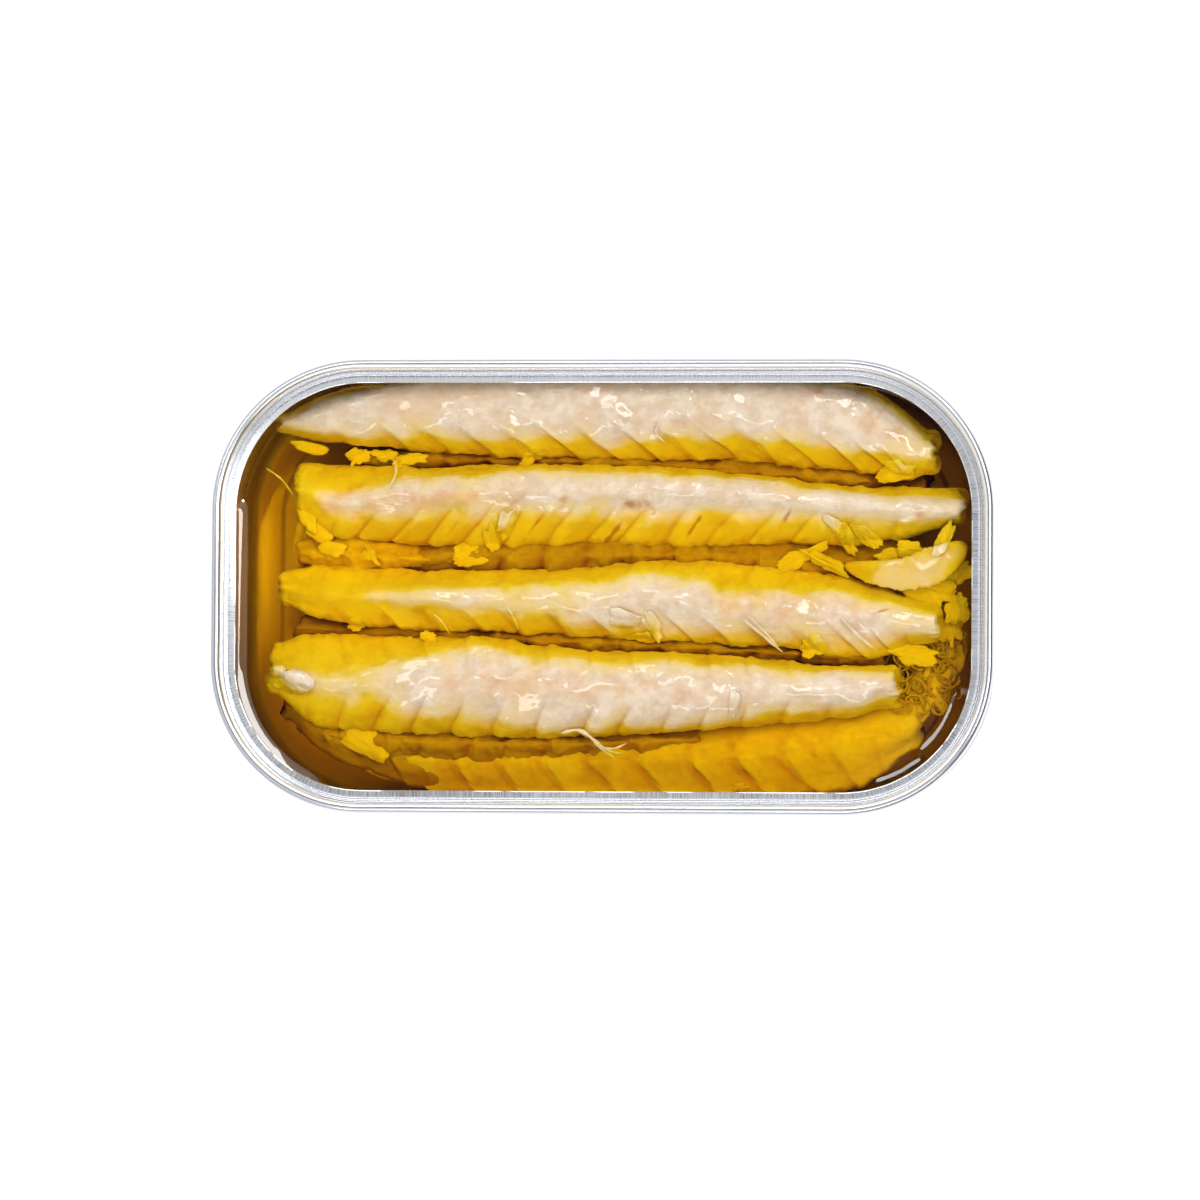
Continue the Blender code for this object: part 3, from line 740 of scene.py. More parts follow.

# %% [markdown]
# ## Rolling a grid into a fillet
# The grid's u runs along the fish and its v round it. Both ends shrink to a point over a short, torn cap. The
# relief is a row of tiles: each rises sharply at its seam and falls slowly to the next. The noise is stronger
# at the edges and ends, where cooked fish frays. Four numbers are kept on each point for the material: how
# near it is to a seam, which the material darkens as painted shade, how stained it is, how its fibres rise,
# and how much deeper it looks soaked.

# %% The fillet maker
CAP_SHARE = 0.035
CAP_REACH = 1.3 * MM
RELIEF = 0.34 * MM
UPPER_RELIEF = 0.35
END_FRAY = 2.6 * MM


def tube_grid(along_steps, round_steps):
    """A flat grid as a mesh, with its own u and v from 0 to 1."""
    bm = bmesh.new()
    bmesh.ops.create_grid(bm, x_segments=along_steps, y_segments=round_steps, size=1.0)
    mesh = to_mesh("roll", bm)
    co = points_of(mesh)
    return mesh, (co[:, 0] + 1) / 2, (co[:, 1] + 1) / 2


def set_points(mesh, points, **marks):
    """Writes the points and the named numbers back, then closes the seam and the poles."""
    mesh.vertices.foreach_set("co", points.astype(np.float32).ravel())
    for name, values in marks.items():
        add_mark(mesh, name, values)
    bm = bmesh.new()
    bm.from_mesh(mesh)
    bmesh.ops.remove_doubles(bm, verts=bm.verts, dist=0.004 * MM)
    bmesh.ops.recalc_face_normals(bm, faces=bm.faces)
    bm.to_mesh(mesh)
    bm.free()
    mesh.update()


def fillet_mesh(spec, seed, along_steps=520, round_steps=150, fray=1.0, tiles=1.0, rough=1.0,
                flanks=(0.22, 0.85), rise=0.0, soak=(0.0, 0.0)):
    """One fillet as a closed mesh with its marks."""
    segment, lean, floor, rows = spec
    segment *= MM
    floor *= MM
    mesh, u, v = tube_grid(along_steps, round_steps)
    first, last = rows[0][0] * MM, rows[-1][0] * MM
    inner = np.clip((u - CAP_SHARE) / (1 - 2 * CAP_SHARE), 0, 1)
    station = first + (last - first) * inner
    cap = np.clip(np.maximum(CAP_SHARE - u, u - 1 + CAP_SHARE) / CAP_SHARE, 0, 1)
    end_side = np.where(u < 0.5, -1.0, 1.0)
    ys, zs = sections(rows, station / MM, floor, rise)
    # more points on top than underneath
    turn = (v - 0.055 * np.sin(2 * np.pi * v)) % 1.0
    y, z = round_curve(ys, turn), round_curve(zs, turn)
    crest_y = ys[:, 2]
    side = y - crest_y
    down = np.clip((z + floor) / (floor - EDGE_DEPTH), 0, 1)
    reach = np.minimum(np.minimum((station - first), (last - station)) / (2 * segment), 1.0)
    away = np.sqrt(side**2 + (0.8 * MM) ** 2) - 0.8 * MM
    shift = lean * away * down * reach * np.where(side > 0, UPPER_LEAN, 1.0)
    flat = np.stack([station, side * 0.6, z * 0.3], 1)
    wander = fractal(flat, 9 * MM, seed) * 0.14 + noise(flat, 2.2 * MM, seed + 5) * 0.04
    phase = (station - first) / segment + wander
    within = phase % 1.0
    count = np.floor(phase)
    upper = side > 0
    half = (ys[:, 0] - ys[:, 4]) / 2
    flank = smooth_step(*flanks, np.abs(side) / half) * np.where(upper, UPPER_RELIEF, 1.0)
    tile_number, which_side = count.astype(np.int64), upper.astype(np.int64)
    uneven = 0.7 + 0.6 * hashed(tile_number, which_side, np.zeros_like(which_side), seed)
    tile = 1.25 * smooth_step(0.0, 0.20, within) - 0.95 * within**1.3 - 0.25
    seam = 0.45 * smooth_step(0.25, 0.95, within) + 0.55 * smooth_step(0.84, 1.0, within)
    seam = np.where(within < 0.08, smooth_step(0.08, 0.0, within), seam)
    relief = RELIEF * tiles * (0.05 + 0.95 * flank) * tile * uneven * down * reach
    points = np.stack([station + shift, y, z + OIL_LEVEL], 1)
    middle = np.stack([station + shift, crest_y, np.full_like(y, OIL_LEVEL - EDGE_DEPTH - 1.5 * MM)], 1)
    out = points - middle
    out /= np.maximum(np.linalg.norm(out, axis=1, keepdims=True), 1e-9)
    edge = smooth_step(-0.6 * MM, -2.6 * MM, z) * smooth_step(-5.5 * MM, -3.5 * MM, z)
    lumps = 0.34 * noise(points, 8 * MM, seed + 1) + 0.20 * rough * noise(points, 3.4 * MM, seed + 2)
    lumps += 0.07 * rough * noise(points * np.array([0.6, 1, 1]), 1.3 * MM, seed + 3)
    grain = points * np.array([1.0, 3.0, 3.0]) + np.stack([lean * side, 0 * side, 0 * side], 1)
    fibres = 0.022 * noise(grain, 0.9 * MM, seed + 4) + 0.014 * noise(grain, 0.42 * MM, seed + 6)
    tears = 0.20 * noise(points, 1.8 * MM, seed + 7) + 0.14 * noise(points, 0.7 * MM, seed + 8)
    ragged = edge * tears * fray
    to_end = np.minimum(station - first, last - station) + (1 - cap) * CAP_REACH
    frayed = smooth_step(END_FRAY, 0.0, to_end) * (
        0.34 * noise(points * np.array([0.4, 1, 1]), 1.3 * MM, seed + 11)
        + 0.20 * noise(points * np.array([0.4, 1, 1]), 0.55 * MM, seed + 12)
    )
    points += out * ((lumps + fibres + ragged + frayed) * MM * (0.4 + 0.6 * down) + relief)[:, None]
    # the caps draw in to the section's middle, torn unevenly
    shrink = np.sqrt(np.clip(1 - cap**2.6, 0, 1))
    core_y, core_z = ((curve.max(1) + curve.min(1)) / 2 for curve in (ys, zs))
    core = np.stack([np.zeros_like(y), core_y, OIL_LEVEL + core_z], 1)
    bulge = CAP_REACH * np.sin(cap * np.pi / 2) * end_side
    torn = fractal(points[:, [1, 2, 0]] * np.array([1, 1, 0]) + end_side[:, None], 2.6 * MM, seed + 9)
    bulge = bulge * (1 + 0.6 * torn * (cap < 0.999))
    for axis in (1, 2):
        points[:, axis] = core[:, axis] + (points[:, axis] - core[:, axis]) * shrink
    pole = cap >= 0.999
    points[:, 0] += bulge
    for tip in (-1, 1):
        here = pole & (end_side == tip)
        points[here] = points[here].mean(0)
    # how much painted shade each point gets, strongest just before its tile's seam
    groove = seam * uneven * down * reach * (0.06 + 0.94 * flank)
    set_points(mesh, points, groove=groove, stain=stains(points, seed + 10), fibre=fibres / 0.03,
               soak=soak[0] * MM + soak[1] * side)
    return mesh


# %% [markdown]
# ## The look of cooked fish in oil
# Above the oil the flesh is cream with pink and grey mottling. Just under it the same flesh turns bright
# yellow, because the oil takes the blue out of the light, and deeper down it goes through ochre to brown. A
# clear liquid over a white fish gives this only in part: much of the tint is oil that has soaked in, and
# light that has come sideways through it. So the flesh itself carries the tint, by its depth under the oil.

# %% Fish flesh
# Colour by depth, from the oil's level down to GOLD_DEPTH in millimetres
GOLD_DEPTH = 11
GOLD = [
    (0.0, (0.72, 0.53, 0.05)), (0.05, (0.70, 0.49, 0.01)), (0.11, (0.70, 0.47, 0.003)),
    (0.23, (0.74, 0.48, 0.001)), (0.41, (0.76, 0.46, 0.0)), (0.64, (0.46, 0.21, 0.001)),
    (1.0, (0.18, 0.06, 0.0)),
]


def fish_material(name, deeper=0.0, painted_shade=(1, 1, 1, 1), tint=(1, 1, 1, 1)):
    shade = Shade(name)
    shade.set(Roughness=0.42, Coat_Roughness=0.035, Coat_IOR=1.6, Subsurface_Radius=(1.0, 0.55, 0.25))
    shade.set(Subsurface_Scale=0.001, Subsurface_Weight=0.35, Specular_IOR_Level=0.0)
    place = shade.position()
    height = shade.node("ShaderNodeSeparateXYZ", Vector=place).outputs["Z"]
    groove, stain, pit, fibre = (shade.value(mark) for mark in ("groove", "stain", "pit", "fibre"))
    soak = shade.math("MULTIPLY", shade.value("soak"), 1 / MM)
    broad = shade.noise(place, 140, detail=3.0)
    middle = shade.noise(place, 270, detail=2.0)
    mottle = shade.noise(place, 520, detail=4.0, roughness=0.6)
    fine = shade.noise(place, 1900, detail=3.0)
    # out of the oil: cream, with pinkish and tan clouds and specks
    cream = shade.mix(shade.span(mottle, 0.35, 0.65), linear(212, 190, 162), linear(226, 210, 188))
    cream = shade.mix(shade.span(broad, 0.46, 0.66, 0, 0.7), cream, linear(216, 186, 152))
    cream = shade.mix(shade.span(middle, 0.58, 0.74, 0, 0.35), cream, linear(206, 172, 130))
    cream = shade.mix(shade.span(fine, 0.66, 0.78, 0, 0.25), cream, linear(176, 146, 116))
    # under the oil: golden, and darker with depth
    depth = shade.math("MULTIPLY", shade.math("SUBTRACT", OIL_LEVEL, height), 1 / MM)
    wobble = shade.math("MULTIPLY", shade.math("SUBTRACT", broad, 0.5), 2.6)
    wobble = shade.math("ADD", wobble, shade.math("MULTIPLY", shade.math("SUBTRACT", middle, 0.5), 1.0))
    depth = shade.math("ADD", shade.math("ADD", depth, wobble), shade.math("ADD", soak, deeper))
    golden = shade.ramp(shade.math("MULTIPLY", depth, 1 / GOLD_DEPTH, clamp=True), GOLD)
    golden = shade.mix(shade.span(mottle, 0.38, 0.70, 0, 0.35), golden, (0.56, 0.31, 0.003, 1))
    golden = shade.mix(shade.span(middle, 0.55, 0.75, 0, 0.40), golden, (0.50, 0.25, 0.002, 1))
    golden = shade.mix(shade.span(broad, 0.52, 0.40, 0, 0.35), golden, (0.78, 0.56, 0.008, 1))
    # a copy of the flesh is darkened here as painted shade
    golden = shade.mix(1.0, golden, painted_shade, "MULTIPLY")
    pale = shade.mix(shade.span(depth, -1.4, -0.2, 0.0, 0.8), cream, (0.76, 0.57, 0.22, 1))
    colour = shade.mix(shade.span(depth, -0.45, 0.40), pale, golden)
    strands = shade.mix(shade.span(fibre, -1.0, 1.0), (0.95, 0.93, 0.90, 1), (1.0, 1.0, 1.0, 1))
    colour = shade.mix(1.0, colour, strands, "MULTIPLY")
    blood = shade.mix(shade.span(stain, 0.45, 0.9), (0.94, 0.76, 0.64, 1), (0.66, 0.42, 0.32, 1))
    colour = shade.mix(shade.span(stain, 0.0, 0.7), colour, shade.mix(1.0, colour, blood, "MULTIPLY"))
    # painted shade in the seams' creases, stronger deeper in the oil
    seamed = shade.mix(1.0, colour, (0.70, 0.42, 0.22, 1), "MULTIPLY")
    crease_shade = shade.math("MULTIPLY", groove, shade.span(depth, 1.0, 3.5, 0.6, 0.85), clamp=True)
    colour = shade.mix(1.0, shade.mix(crease_shade, colour, seamed), tint, "MULTIPLY")
    # painted shade in the gaps, by how deep a point lies under the blurred tops around it
    gap_shaded = shade.mix(1.0, colour, (0.34, 0.17, 0.02, 1), "MULTIPLY")
    shade.link(shade.mix(shade.span(pit, 0.10, 0.95), colour, gap_shaded), "Base Color")
    dry = shade.span(depth, 0.1, -0.35)
    wet = shade.span(shade.noise(place, 200, detail=4.0), 0.485, 0.50, 0.04, 1.0)
    shade.link(shade.math("MULTIPLY", dry, wet), "Coat Weight")
    bumps = shade.math("ADD", shade.math("MULTIPLY", fine, 0.35), mottle)
    shade.link(shade.bump(bumps, 0.35, 0.10 * MM), "Normal")
    shade.link(shade.bump(shade.noise(place, 150, detail=1.0, roughness=0.5), 1.0, 2.8 * MM), "Coat Normal")
    return shade.mat


flesh = fish_material("fish_flesh")
# a darker, deeper-toned copy of the flesh for the pieces under the fillets: painted shade
shaded_sunk_flesh = fish_material("shaded_sunk_flesh", deeper=0.6, painted_shade=(0.62, 0.52, 0.4, 1))
soaked_flesh = fish_material("soaked_flesh", deeper=0.2, tint=(0.94, 0.86, 0.56, 1))

# How far the back fillet's upper shoulder may stand out of the oil
BACK_RISE = 1.2 * MM
# How much deeper each fillet looks soaked, in millimetres, and how much that grows per millimetre upwards
SOAK = {
    "fillet_1": (-0.35, -0.1),
    "fillet_2": (-0.05, 0.04),
    "fillet_3": (0.15, 0.2),
    "fillet_4": (0.0, 0.08),
}
# Sunk pieces have deeper tiles that begin nearer the crest, and a coarser grid
SUNK_TILES = 1.8
SUNK_FLANKS = (-0.3, 0.3)
SUNK_STEPS_PER_MM, SUNK_ROUND_STEPS = 5, 110
fish = []
for number, (name, spec) in enumerate(FILLETS.items()):
    looks = dict(tiles=SUNK_TILES, rough=1.6, flanks=SUNK_FLANKS) if spec[2] > FILLET_DEPTH else {}
    looks.update(rise=BACK_RISE * (number == 0), soak=SOAK.get(name, (0, 0)))
    shape = fillet_mesh(spec, seed=11 + 7 * number, **looks)
    piece = add_mesh(f"{name}_flesh", shape, flesh)
    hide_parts(name)
    fish.append(piece)
for number, (name, spec) in enumerate(SUNK.items()):
    rows = spec[-1]
    steps = int((rows[-1][0] - rows[0][0]) * SUNK_STEPS_PER_MM)
    looks = dict(fray=1.6, tiles=SUNK_TILES, rough=1.8, flanks=SUNK_FLANKS)
    looks.update(along_steps=steps, round_steps=SUNK_ROUND_STEPS)
    shape = fillet_mesh(spec, seed=61 + 7 * number, **looks)
    fish.append(add_mesh(name, shape, soaked_flesh if name == "sunk_left" else shaded_sunk_flesh))
print("fish triangles:", {ob.name: triangles(ob) for ob in fish})

# %% [markdown]
# ## The large flake
# A leaf of flesh that came loose: bowed, thin, its outer edge notched by the ends of its fibres. A grid bent
# along a curve and thickened keeps the notches sharp.

# %% Leaves
def leaf_mesh(rows, thickness, seed, curl, frill, fibre, steps):
    """A thin bowed leaf through rows of (x, y, half width, height over the oil) in millimetres."""
    mesh, u, v = tube_grid(*steps)
    rows = np.array(rows, float)
    knots = np.linspace(0, 1, len(rows))
    table = np.column_stack([knots, rows])
    x, y, half, lift = along(table, u).T
    ahead, behind = along(table, np.clip(u + 0.01, 0, 1)), along(table, np.clip(u - 0.01, 0, 1))
    heading = ahead[:, :2] - behind[:, :2]
    heading /= np.maximum(np.linalg.norm(heading, axis=1, keepdims=True), 1e-9)
    across = np.stack([-heading[:, 1], heading[:, 0]], 1)
    turn = 2 * np.pi * v
    ends = np.sqrt(np.clip(1 - np.abs(2 * u - 1) ** 6, 0, 1))
    flat = np.stack([u * 40 * MM, np.cos(turn) * MM, 0 * u], 1)
    edge = np.abs(np.cos(turn)) ** 4
    notch = 1 + edge * frill * (fractal(flat, 1.6 * MM, seed) + noise(flat, 0.6 * MM, seed + 1))
    reach = np.cos(turn) * half * ends * notch
    rise = np.sign(np.sin(turn)) * np.abs(np.sin(turn)) ** 0.7 * thickness / 2 * np.clip(ends * 1.6, 0, 1)
    bow = curl * (reach / np.maximum(half, 1e-6)) ** 2
    stripes = noise(np.stack([u * 60 * MM, reach * 0.35, 0 * u], 1), 0.9 * MM, seed + 2) * 0.10 * MM * fibre
    height = lift + OIL_LEVEL + rise + bow + stripes
    points = np.stack([x + across[:, 0] * reach, y + across[:, 1] * reach, height], 1)
    points[:, 2] += noise(points, 2.5 * MM, seed + 3) * 0.18 * MM * ends
    aside = np.stack([noise(points, 0.9 * MM, seed + 4), noise(points, 0.9 * MM, seed + 5)], 1)
    points[:, :2] += aside * (0.06 * MM * ends)[:, None]
    # the low stripes get the same painted shade as a fillet's seams
    set_points(mesh, points, groove=np.clip(-stripes / (0.1 * MM), 0, 1) * 0.4)
    return mesh


# Rows of the large flake, as leaf_mesh takes them
FLAKE = [
    (32.2, 3.2, 0.8, -0.7),
    (35.5, 2.3, 1.5, -0.5),
    (40.2, 2.0, 2.2, -0.3),
    (44.4, 3.3, 2.4, -0.2),
    (48.6, 6.0, 1.6, -0.6),
]
shape = leaf_mesh(FLAKE, 1.3 * MM, 5, curl=0.12 * MM, frill=0.05, fibre=0.12, steps=(160, 60))
flake = add_mesh("large_flake", shape, soaked_flesh)
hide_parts("flake_large")
fish.append(flake)
print("large flake triangles:", triangles(flake))

# %% [markdown]
# ## Flakes, crumbs and threads
# Whatever came off the fillets in packing lies between them. A flake is a ball pressed flat, its outline torn
# by noise that is stretched along its fibres. A thread is a thin tube along a few points. Small ones are made
# many at a time into one mesh, as nobody picks them out singly.

# %% Flakes
FLAKE_DIVISIONS = 5
# Middle (x, y, height over the oil), length, width, thickness in millimetres, turn about Z and tip about the
# long axis in degrees.
CLINGING = [
    ((38.8, 15.9, -0.6), 5.0, 2.8, 1.3, 8, -20), ((31.2, 8.0, -0.1), 3.6, 2.3, 1.2, -48, 20),
    ((32.6, 6.3, -0.8), 4.6, 2.1, 0.8, -58, 15), ((35.2, 7.0, -0.9), 3.8, 1.8, 0.7, -38, 10),
    ((-13.2, 8.9, -0.3), 4.2, 2.2, 0.9, 62, 25), ((-15.6, 6.6, -1.3), 3.2, 1.9, 0.8, 100, 10),
    ((3.0, -4.4, 0.2), 4.8, 2.2, 1.1, -8, 25), ((6.6, -4.9, 0.4), 4.2, 1.5, 1.0, -62, 10),
    ((4.9, -6.4, -0.6), 4.0, 1.8, 0.9, 2, 10), ((-42.2, -12.9, -0.1), 5.2, 3.6, 1.8, -28, 15),
    ((-44.0, -11.2, 0.0), 2.2, 2.0, 1.2, 30, 0), ((45.5, 6.6, -0.3), 4.6, 1.9, 0.8, 62, 10),
    ((17.6, -15.6, 0.9), 3.4, 1.7, 0.9, 85, 0), ((27.9, -7.9, -0.7), 3.2, 2.6, 0.8, 10, 0),
    ((-10.0, 18.0, -0.8), 3.4, 1.3, 0.5, 5, 0), ((-34.3, -4.9, -0.8), 2.6, 1.5, 0.6, 8, 0),
]
SUNKEN = [
    ((-33.9, 17.8, -2.6), 3.0, 2.0, 0.9, 20, 0), ((-26.4, 17.4, -2.0), 4.2, 1.6, 0.7, -5, 0),
    ((-28.0, 16.7, -2.4), 2.4, 1.9, 0.8, 40, 0), ((-30.2, 18.0, -3.2), 3.4, 1.8, 0.8, 0, 0),
    ((-10.8, 17.0, -2.1), 1.8, 1.7, 0.8, 0, 0), ((-40.0, 19.0, -2.4), 5.4, 1.7, 0.8, -12, 0),
    ((26.3, 4.3, -1.8), 6.8, 2.4, 0.8, 22, 15), ((29.9, 3.5, -1.5), 5.0, 1.9, 0.8, -25, 10),
    ((23.6, 3.2, -2.4), 4.0, 1.8, 0.7, 28, 0), ((40.7, 5.4, -1.5), 3.4, 2.0, 0.8, -10, 10),
    ((38.4, 4.3, -2.4), 4.4, 2.2, 0.9, 8, 0), ((47.2, 2.4, -2.2), 4.4, 3.6, 1.1, 50, 0),
    ((47.4, -2.4, -2.0), 4.6, 3.0, 1.1, 75, 0), ((43.4, 0.6, -2.4), 9.0, 4.4, 1.6, -22, 0),
    ((46.4, -5.6, -3.4), 5.0, 3.6, 1.4, 80, 0), ((41.0, -8.4, -2.4), 7.5, 3.2, 1.3, -8, 0),
    ((-36.8, 5.3, -2.0), 3.4, 1.9, 0.8, -12, 0), ((-32.0, 4.6, -2.2), 3.4, 1.4, 0.6, -50, 0),
    ((-41.2, 14.6, -1.6), 3.4, 2.2, 0.9, 70, 0), ((-40.6, 9.4, -2.0), 3.4, 1.9, 0.8, 110, 0),
    ((-38.8, 7.2, -2.6), 4.0, 2.2, 0.9, 140, 0), ((-23.8, -6.6, -1.6), 2.4, 1.6, 0.7, 0, 0),
    ((18.1, -26.6, -4.0), 1.8, 1.1, 0.6, 20, 0), ((43.6, -12.0, -5.6), 10.0, 7.0, 3.0, 70, 0),
    ((45.4, -6.4, -5.6), 8.0, 5.0, 2.4, 80, 0), ((-19.0, 4.6, -3.0), 5.5, 2.6, 1.0, 12, 0),
    ((-12.0, 4.4, -3.2), 4.4, 2.0, 1.0, -14, 0), ((-33.0, -20.6, -3.6), 7.0, 3.4, 1.3, -30, 0),
    ((-41.8, 6.2, -6.0), 6.4, 2.4, 0.8, 84, 0),
]


def heights_of(pieces, xs, ys):
    """The height of the highest piece at each place, or far below where there is none."""
    bm = bmesh.new()
    for ob in pieces:
        bm.from_mesh(ob.data)
    tree = BVHTree.FromBMesh(bm)
    bm.free()
    heights = np.full(len(xs), -1.0)
    for i, (x, y) in enumerate(zip(xs, ys)):
        hit = tree.ray_cast(Vector((x, y, TIN_HEIGHT)), Vector((0, 0, -1)))[0]
        if hit is not None:
            heights[i] = hit.z
    return heights


def flakes_mesh(specs, seed):
    """Torn flakes, all in one mesh."""
    whole = bmesh.new()
    for number, (middle, length, width, thickness, turn, tip) in enumerate(specs):
        bm = bmesh.new()
        bmesh.ops.create_icosphere(bm, subdivisions=FLAKE_DIVISIONS, radius=1.0)
        ball = np.array([v.co for v in bm.verts])
        spot = ball * np.array([1.0, 1.0, 0.1]) + number * 7.3
        torn = 1 + 0.45 * noise(spot, 0.8, seed) + 0.22 * noise(spot, 0.36, seed + 1)
        torn += 0.07 * noise(spot, 0.13, seed + 2)
        square = 1 + 0.12 * np.clip(np.abs(ball[:, 0]), 0, 0.9) ** 2
        grain = ball * np.array([0.5, 2.2, 0.0]) + number
        fibre = 0.10 * noise(grain, 0.30, seed + 3)
        swell = 0.38 * noise(spot, 0.6, seed + 4)
        bow = 0.3 * (ball[:, 0] * torn) ** 2 * (-1) ** number
        flat = np.stack([ball[:, 0] * torn, ball[:, 1] * torn * square, ball[:, 2] + fibre + swell - bow], 1)
        flat *= np.array([length, width, thickness]) / 2
        for vert, point in zip(bm.verts, flat):
            vert.co = point
        place = Matrix.Translation(Vector(middle) * MM + Vector((0, 0, OIL_LEVEL)))
        turned = Matrix.Rotation(math.radians(turn), 4, "Z") @ Matrix.Rotation(math.radians(tip), 4, "X")
        bmesh.ops.transform(bm, matrix=place @ turned @ Matrix.Scale(MM, 4), verts=bm.verts)
        made = to_mesh("flake", bm)
        whole.from_mesh(made)
        bpy.data.meshes.remove(made)
    return whole


# A draped flake rests on this percentile of the heights under it. How far its points may leave that level,
# and how far they stand off what lies under them.
FIRM_PERCENTILE = 70
SAG = 1.1 * MM
STAND_OFF = 0.12 * MM


def drape(bm, pieces):
    """Lays flakes over what lies under them, each point as high over it as it lay over its own flake's
    middle. Over a gap a flake only sags."""
    spots = np.array([v.co for v in bm.verts])
    under = heights_of(pieces, spots[:, 0], spots[:, 1])
    each = len(spots) // len(CLINGING)
    for start in range(0, len(spots), each):
        part = slice(start, start + each)
        middle = spots[part].mean(0)
        firm = np.percentile(under[part], FIRM_PERCENTILE)
        spots[part, 2] += np.clip(under[part], firm - SAG, firm + SAG) + STAND_OFF - middle[2]
    for vert, z in zip(bm.verts, spots[:, 2]):
        vert.co.z = z
    return bm


clinging = drape(flakes_mesh(CLINGING, 21), fish)
fish.append(add_piece("clinging_flakes", clinging, flesh))
loose = [add_piece("sunken_flakes", flakes_mesh(SUNKEN, 31), flesh)]
print("flakes on the fillets:", len(CLINGING), "sunk flakes:", len(SUNKEN))

# %% Threads
# The tangle: how many curls, the box that they start in (x, y, height over the oil), and each one's steps
CURLS = 140
CURL_BOX = ((40.0, 46.0), (-15.5, -6.5), (-5.2, -2.8))
CURL_STEPS, CURL_STEP = 6, 0.75
# Radius, then points (x, y, height over the oil) in millimetres
THREADS = [
    (0.17, [(18.8, -4.2, 1.2), (21.0, -6.0, 0.9), (24.1, -8.6, -0.1)]),
    (0.14, [(19.6, -3.8, 1.4), (22.0, -6.2, 0.9), (23.4, -7.9, 0.1)]),
    (0.16, [(31.8, -3.9, 1.5), (34.2, -6.3, 0.9), (36.8, -8.5, -0.5)]),
    (0.24, [(-5.9, -19.5, -0.3), (-3.4, -19.1, 0.2), (-1.2, -20.5, 0.2), (0.6, -22.6, -0.3)]),
    (0.13, [(-1.0, -20.8, 0.2), (0.4, -21.5, 0.3), (1.8, -21.4, 0.3), (3.1, -20.8, 0.1)]),
    (0.12, [(-0.6, -21.2, 0.1), (1.0, -21.9, 0.2), (2.6, -22.2, 0.0)]),
    (0.12, [(-0.2, -21.6, 0.0), (1.2, -22.6, 0.0), (1.6, -23.4, -0.3)]),
    (0.13, [(-23.2, -3.4, -0.1), (-22.0, -4.6, -0.2), (-21.0, -6.2, -0.7)]),
    (0.13, [(-28.8, 17.4, -0.6), (-28.4, 15.6, 0.2), (-29.3, 13.2, 0.9)]),
    (0.11, [(-46.2, 16.2, -0.6), (-44.0, 14.6, -0.4), (-42.4, 12.4, -0.5)]),
    (0.14, [(-14.0, -1.6, 0.5), (-12.6, -3.4, 0.2), (-11.6, -5.6, -0.6)]),
    (0.13, [(7.4, 22.6, 1.7), (6.9, 20.9, 1.2), (8.0, 19.6, 0.4)]),
    (0.15, [(26.0, 5.4, -0.8), (28.6, 3.9, -0.7), (31.4, 2.6, -0.9), (32.8, 1.6, -1.2)]),
]


def tangle(count, seed):
    """Random curls in the gap at the right end."""
    rng = random.Random(seed)
    curls = []
    for _ in range(count):
        spot = Vector([rng.uniform(*limits) for limits in CURL_BOX])
        heading = rng.uniform(0, 2 * math.pi)
        bend = rng.choice((-1, 1)) * rng.uniform(0.3, 1.1)
        points = []
        for _ in range(CURL_STEPS):
            points.append(tuple(spot))
            spot = spot + Vector((math.cos(heading), math.sin(heading), rng.uniform(-0.35, 0.35))) * CURL_STEP
            heading += bend
        curls.append((rng.uniform(0.09, 0.22), points))
    return curls


def threads_mesh(paths):
    """Thin tubes through points, all in one mesh."""
    whole = bmesh.new()
    for radius, points in paths:
        mesh, u, v = tube_grid(36, 10)
        rows = np.column_stack([np.linspace(0, 1, len(points)), points])
        heading = along(rows, np.clip(u + 0.03, 0, 1)) - along(rows, np.clip(u - 0.03, 0, 1))
        heading /= np.maximum(np.linalg.norm(heading, axis=1, keepdims=True), 1e-9)
        aside = np.stack([-heading[:, 1], heading[:, 0], 0 * u], 1)
        aside /= np.maximum(np.linalg.norm(aside, axis=1, keepdims=True), 1e-9)
        lift = np.cross(heading, aside)
        thick = radius * MM * np.sqrt(np.clip(1 - np.abs(2 * u - 1) ** 5, 0, 1)) * (1 + 0.3 * np.sin(19 * u))
        turn = 2 * np.pi * v
        ring = aside * (np.cos(turn) * thick)[:, None] + lift * (np.sin(turn) * thick * 0.6)[:, None]
        set_points(mesh, along(rows, u) + ring + np.array([0, 0, OIL_LEVEL]))
        whole.from_mesh(mesh)
        bpy.data.meshes.remove(mesh)
    return whole


add_piece("threads", threads_mesh(THREADS), flesh)
loose.append(add_piece("tangle", threads_mesh(tangle(CURLS, 9)), shaded_sunk_flesh))
print("threads:", len(THREADS), "curls:", CURLS)

# %% [markdown]
# ## Light in the gaps
# Golden oil in a narrow gap swallows light twice, going down and coming back. So each point also keeps how
# far its surroundings rise over it. The tops of all pieces are read on a grid, the grid is blurred, and a
# point that lies under the blurred height is in a gap.

# %% Pits
# The grid's cell, how far it is blurred, how far under the blurred height a point is wholly in a gap, and the
# lowest height that counts
PIT_CELL = 0.3 * MM
PIT_REACH = 1.6 * MM
PIT_DEPTH = 3.0 * MM
PIT_FLOOR = OIL_LEVEL - 7.0 * MM


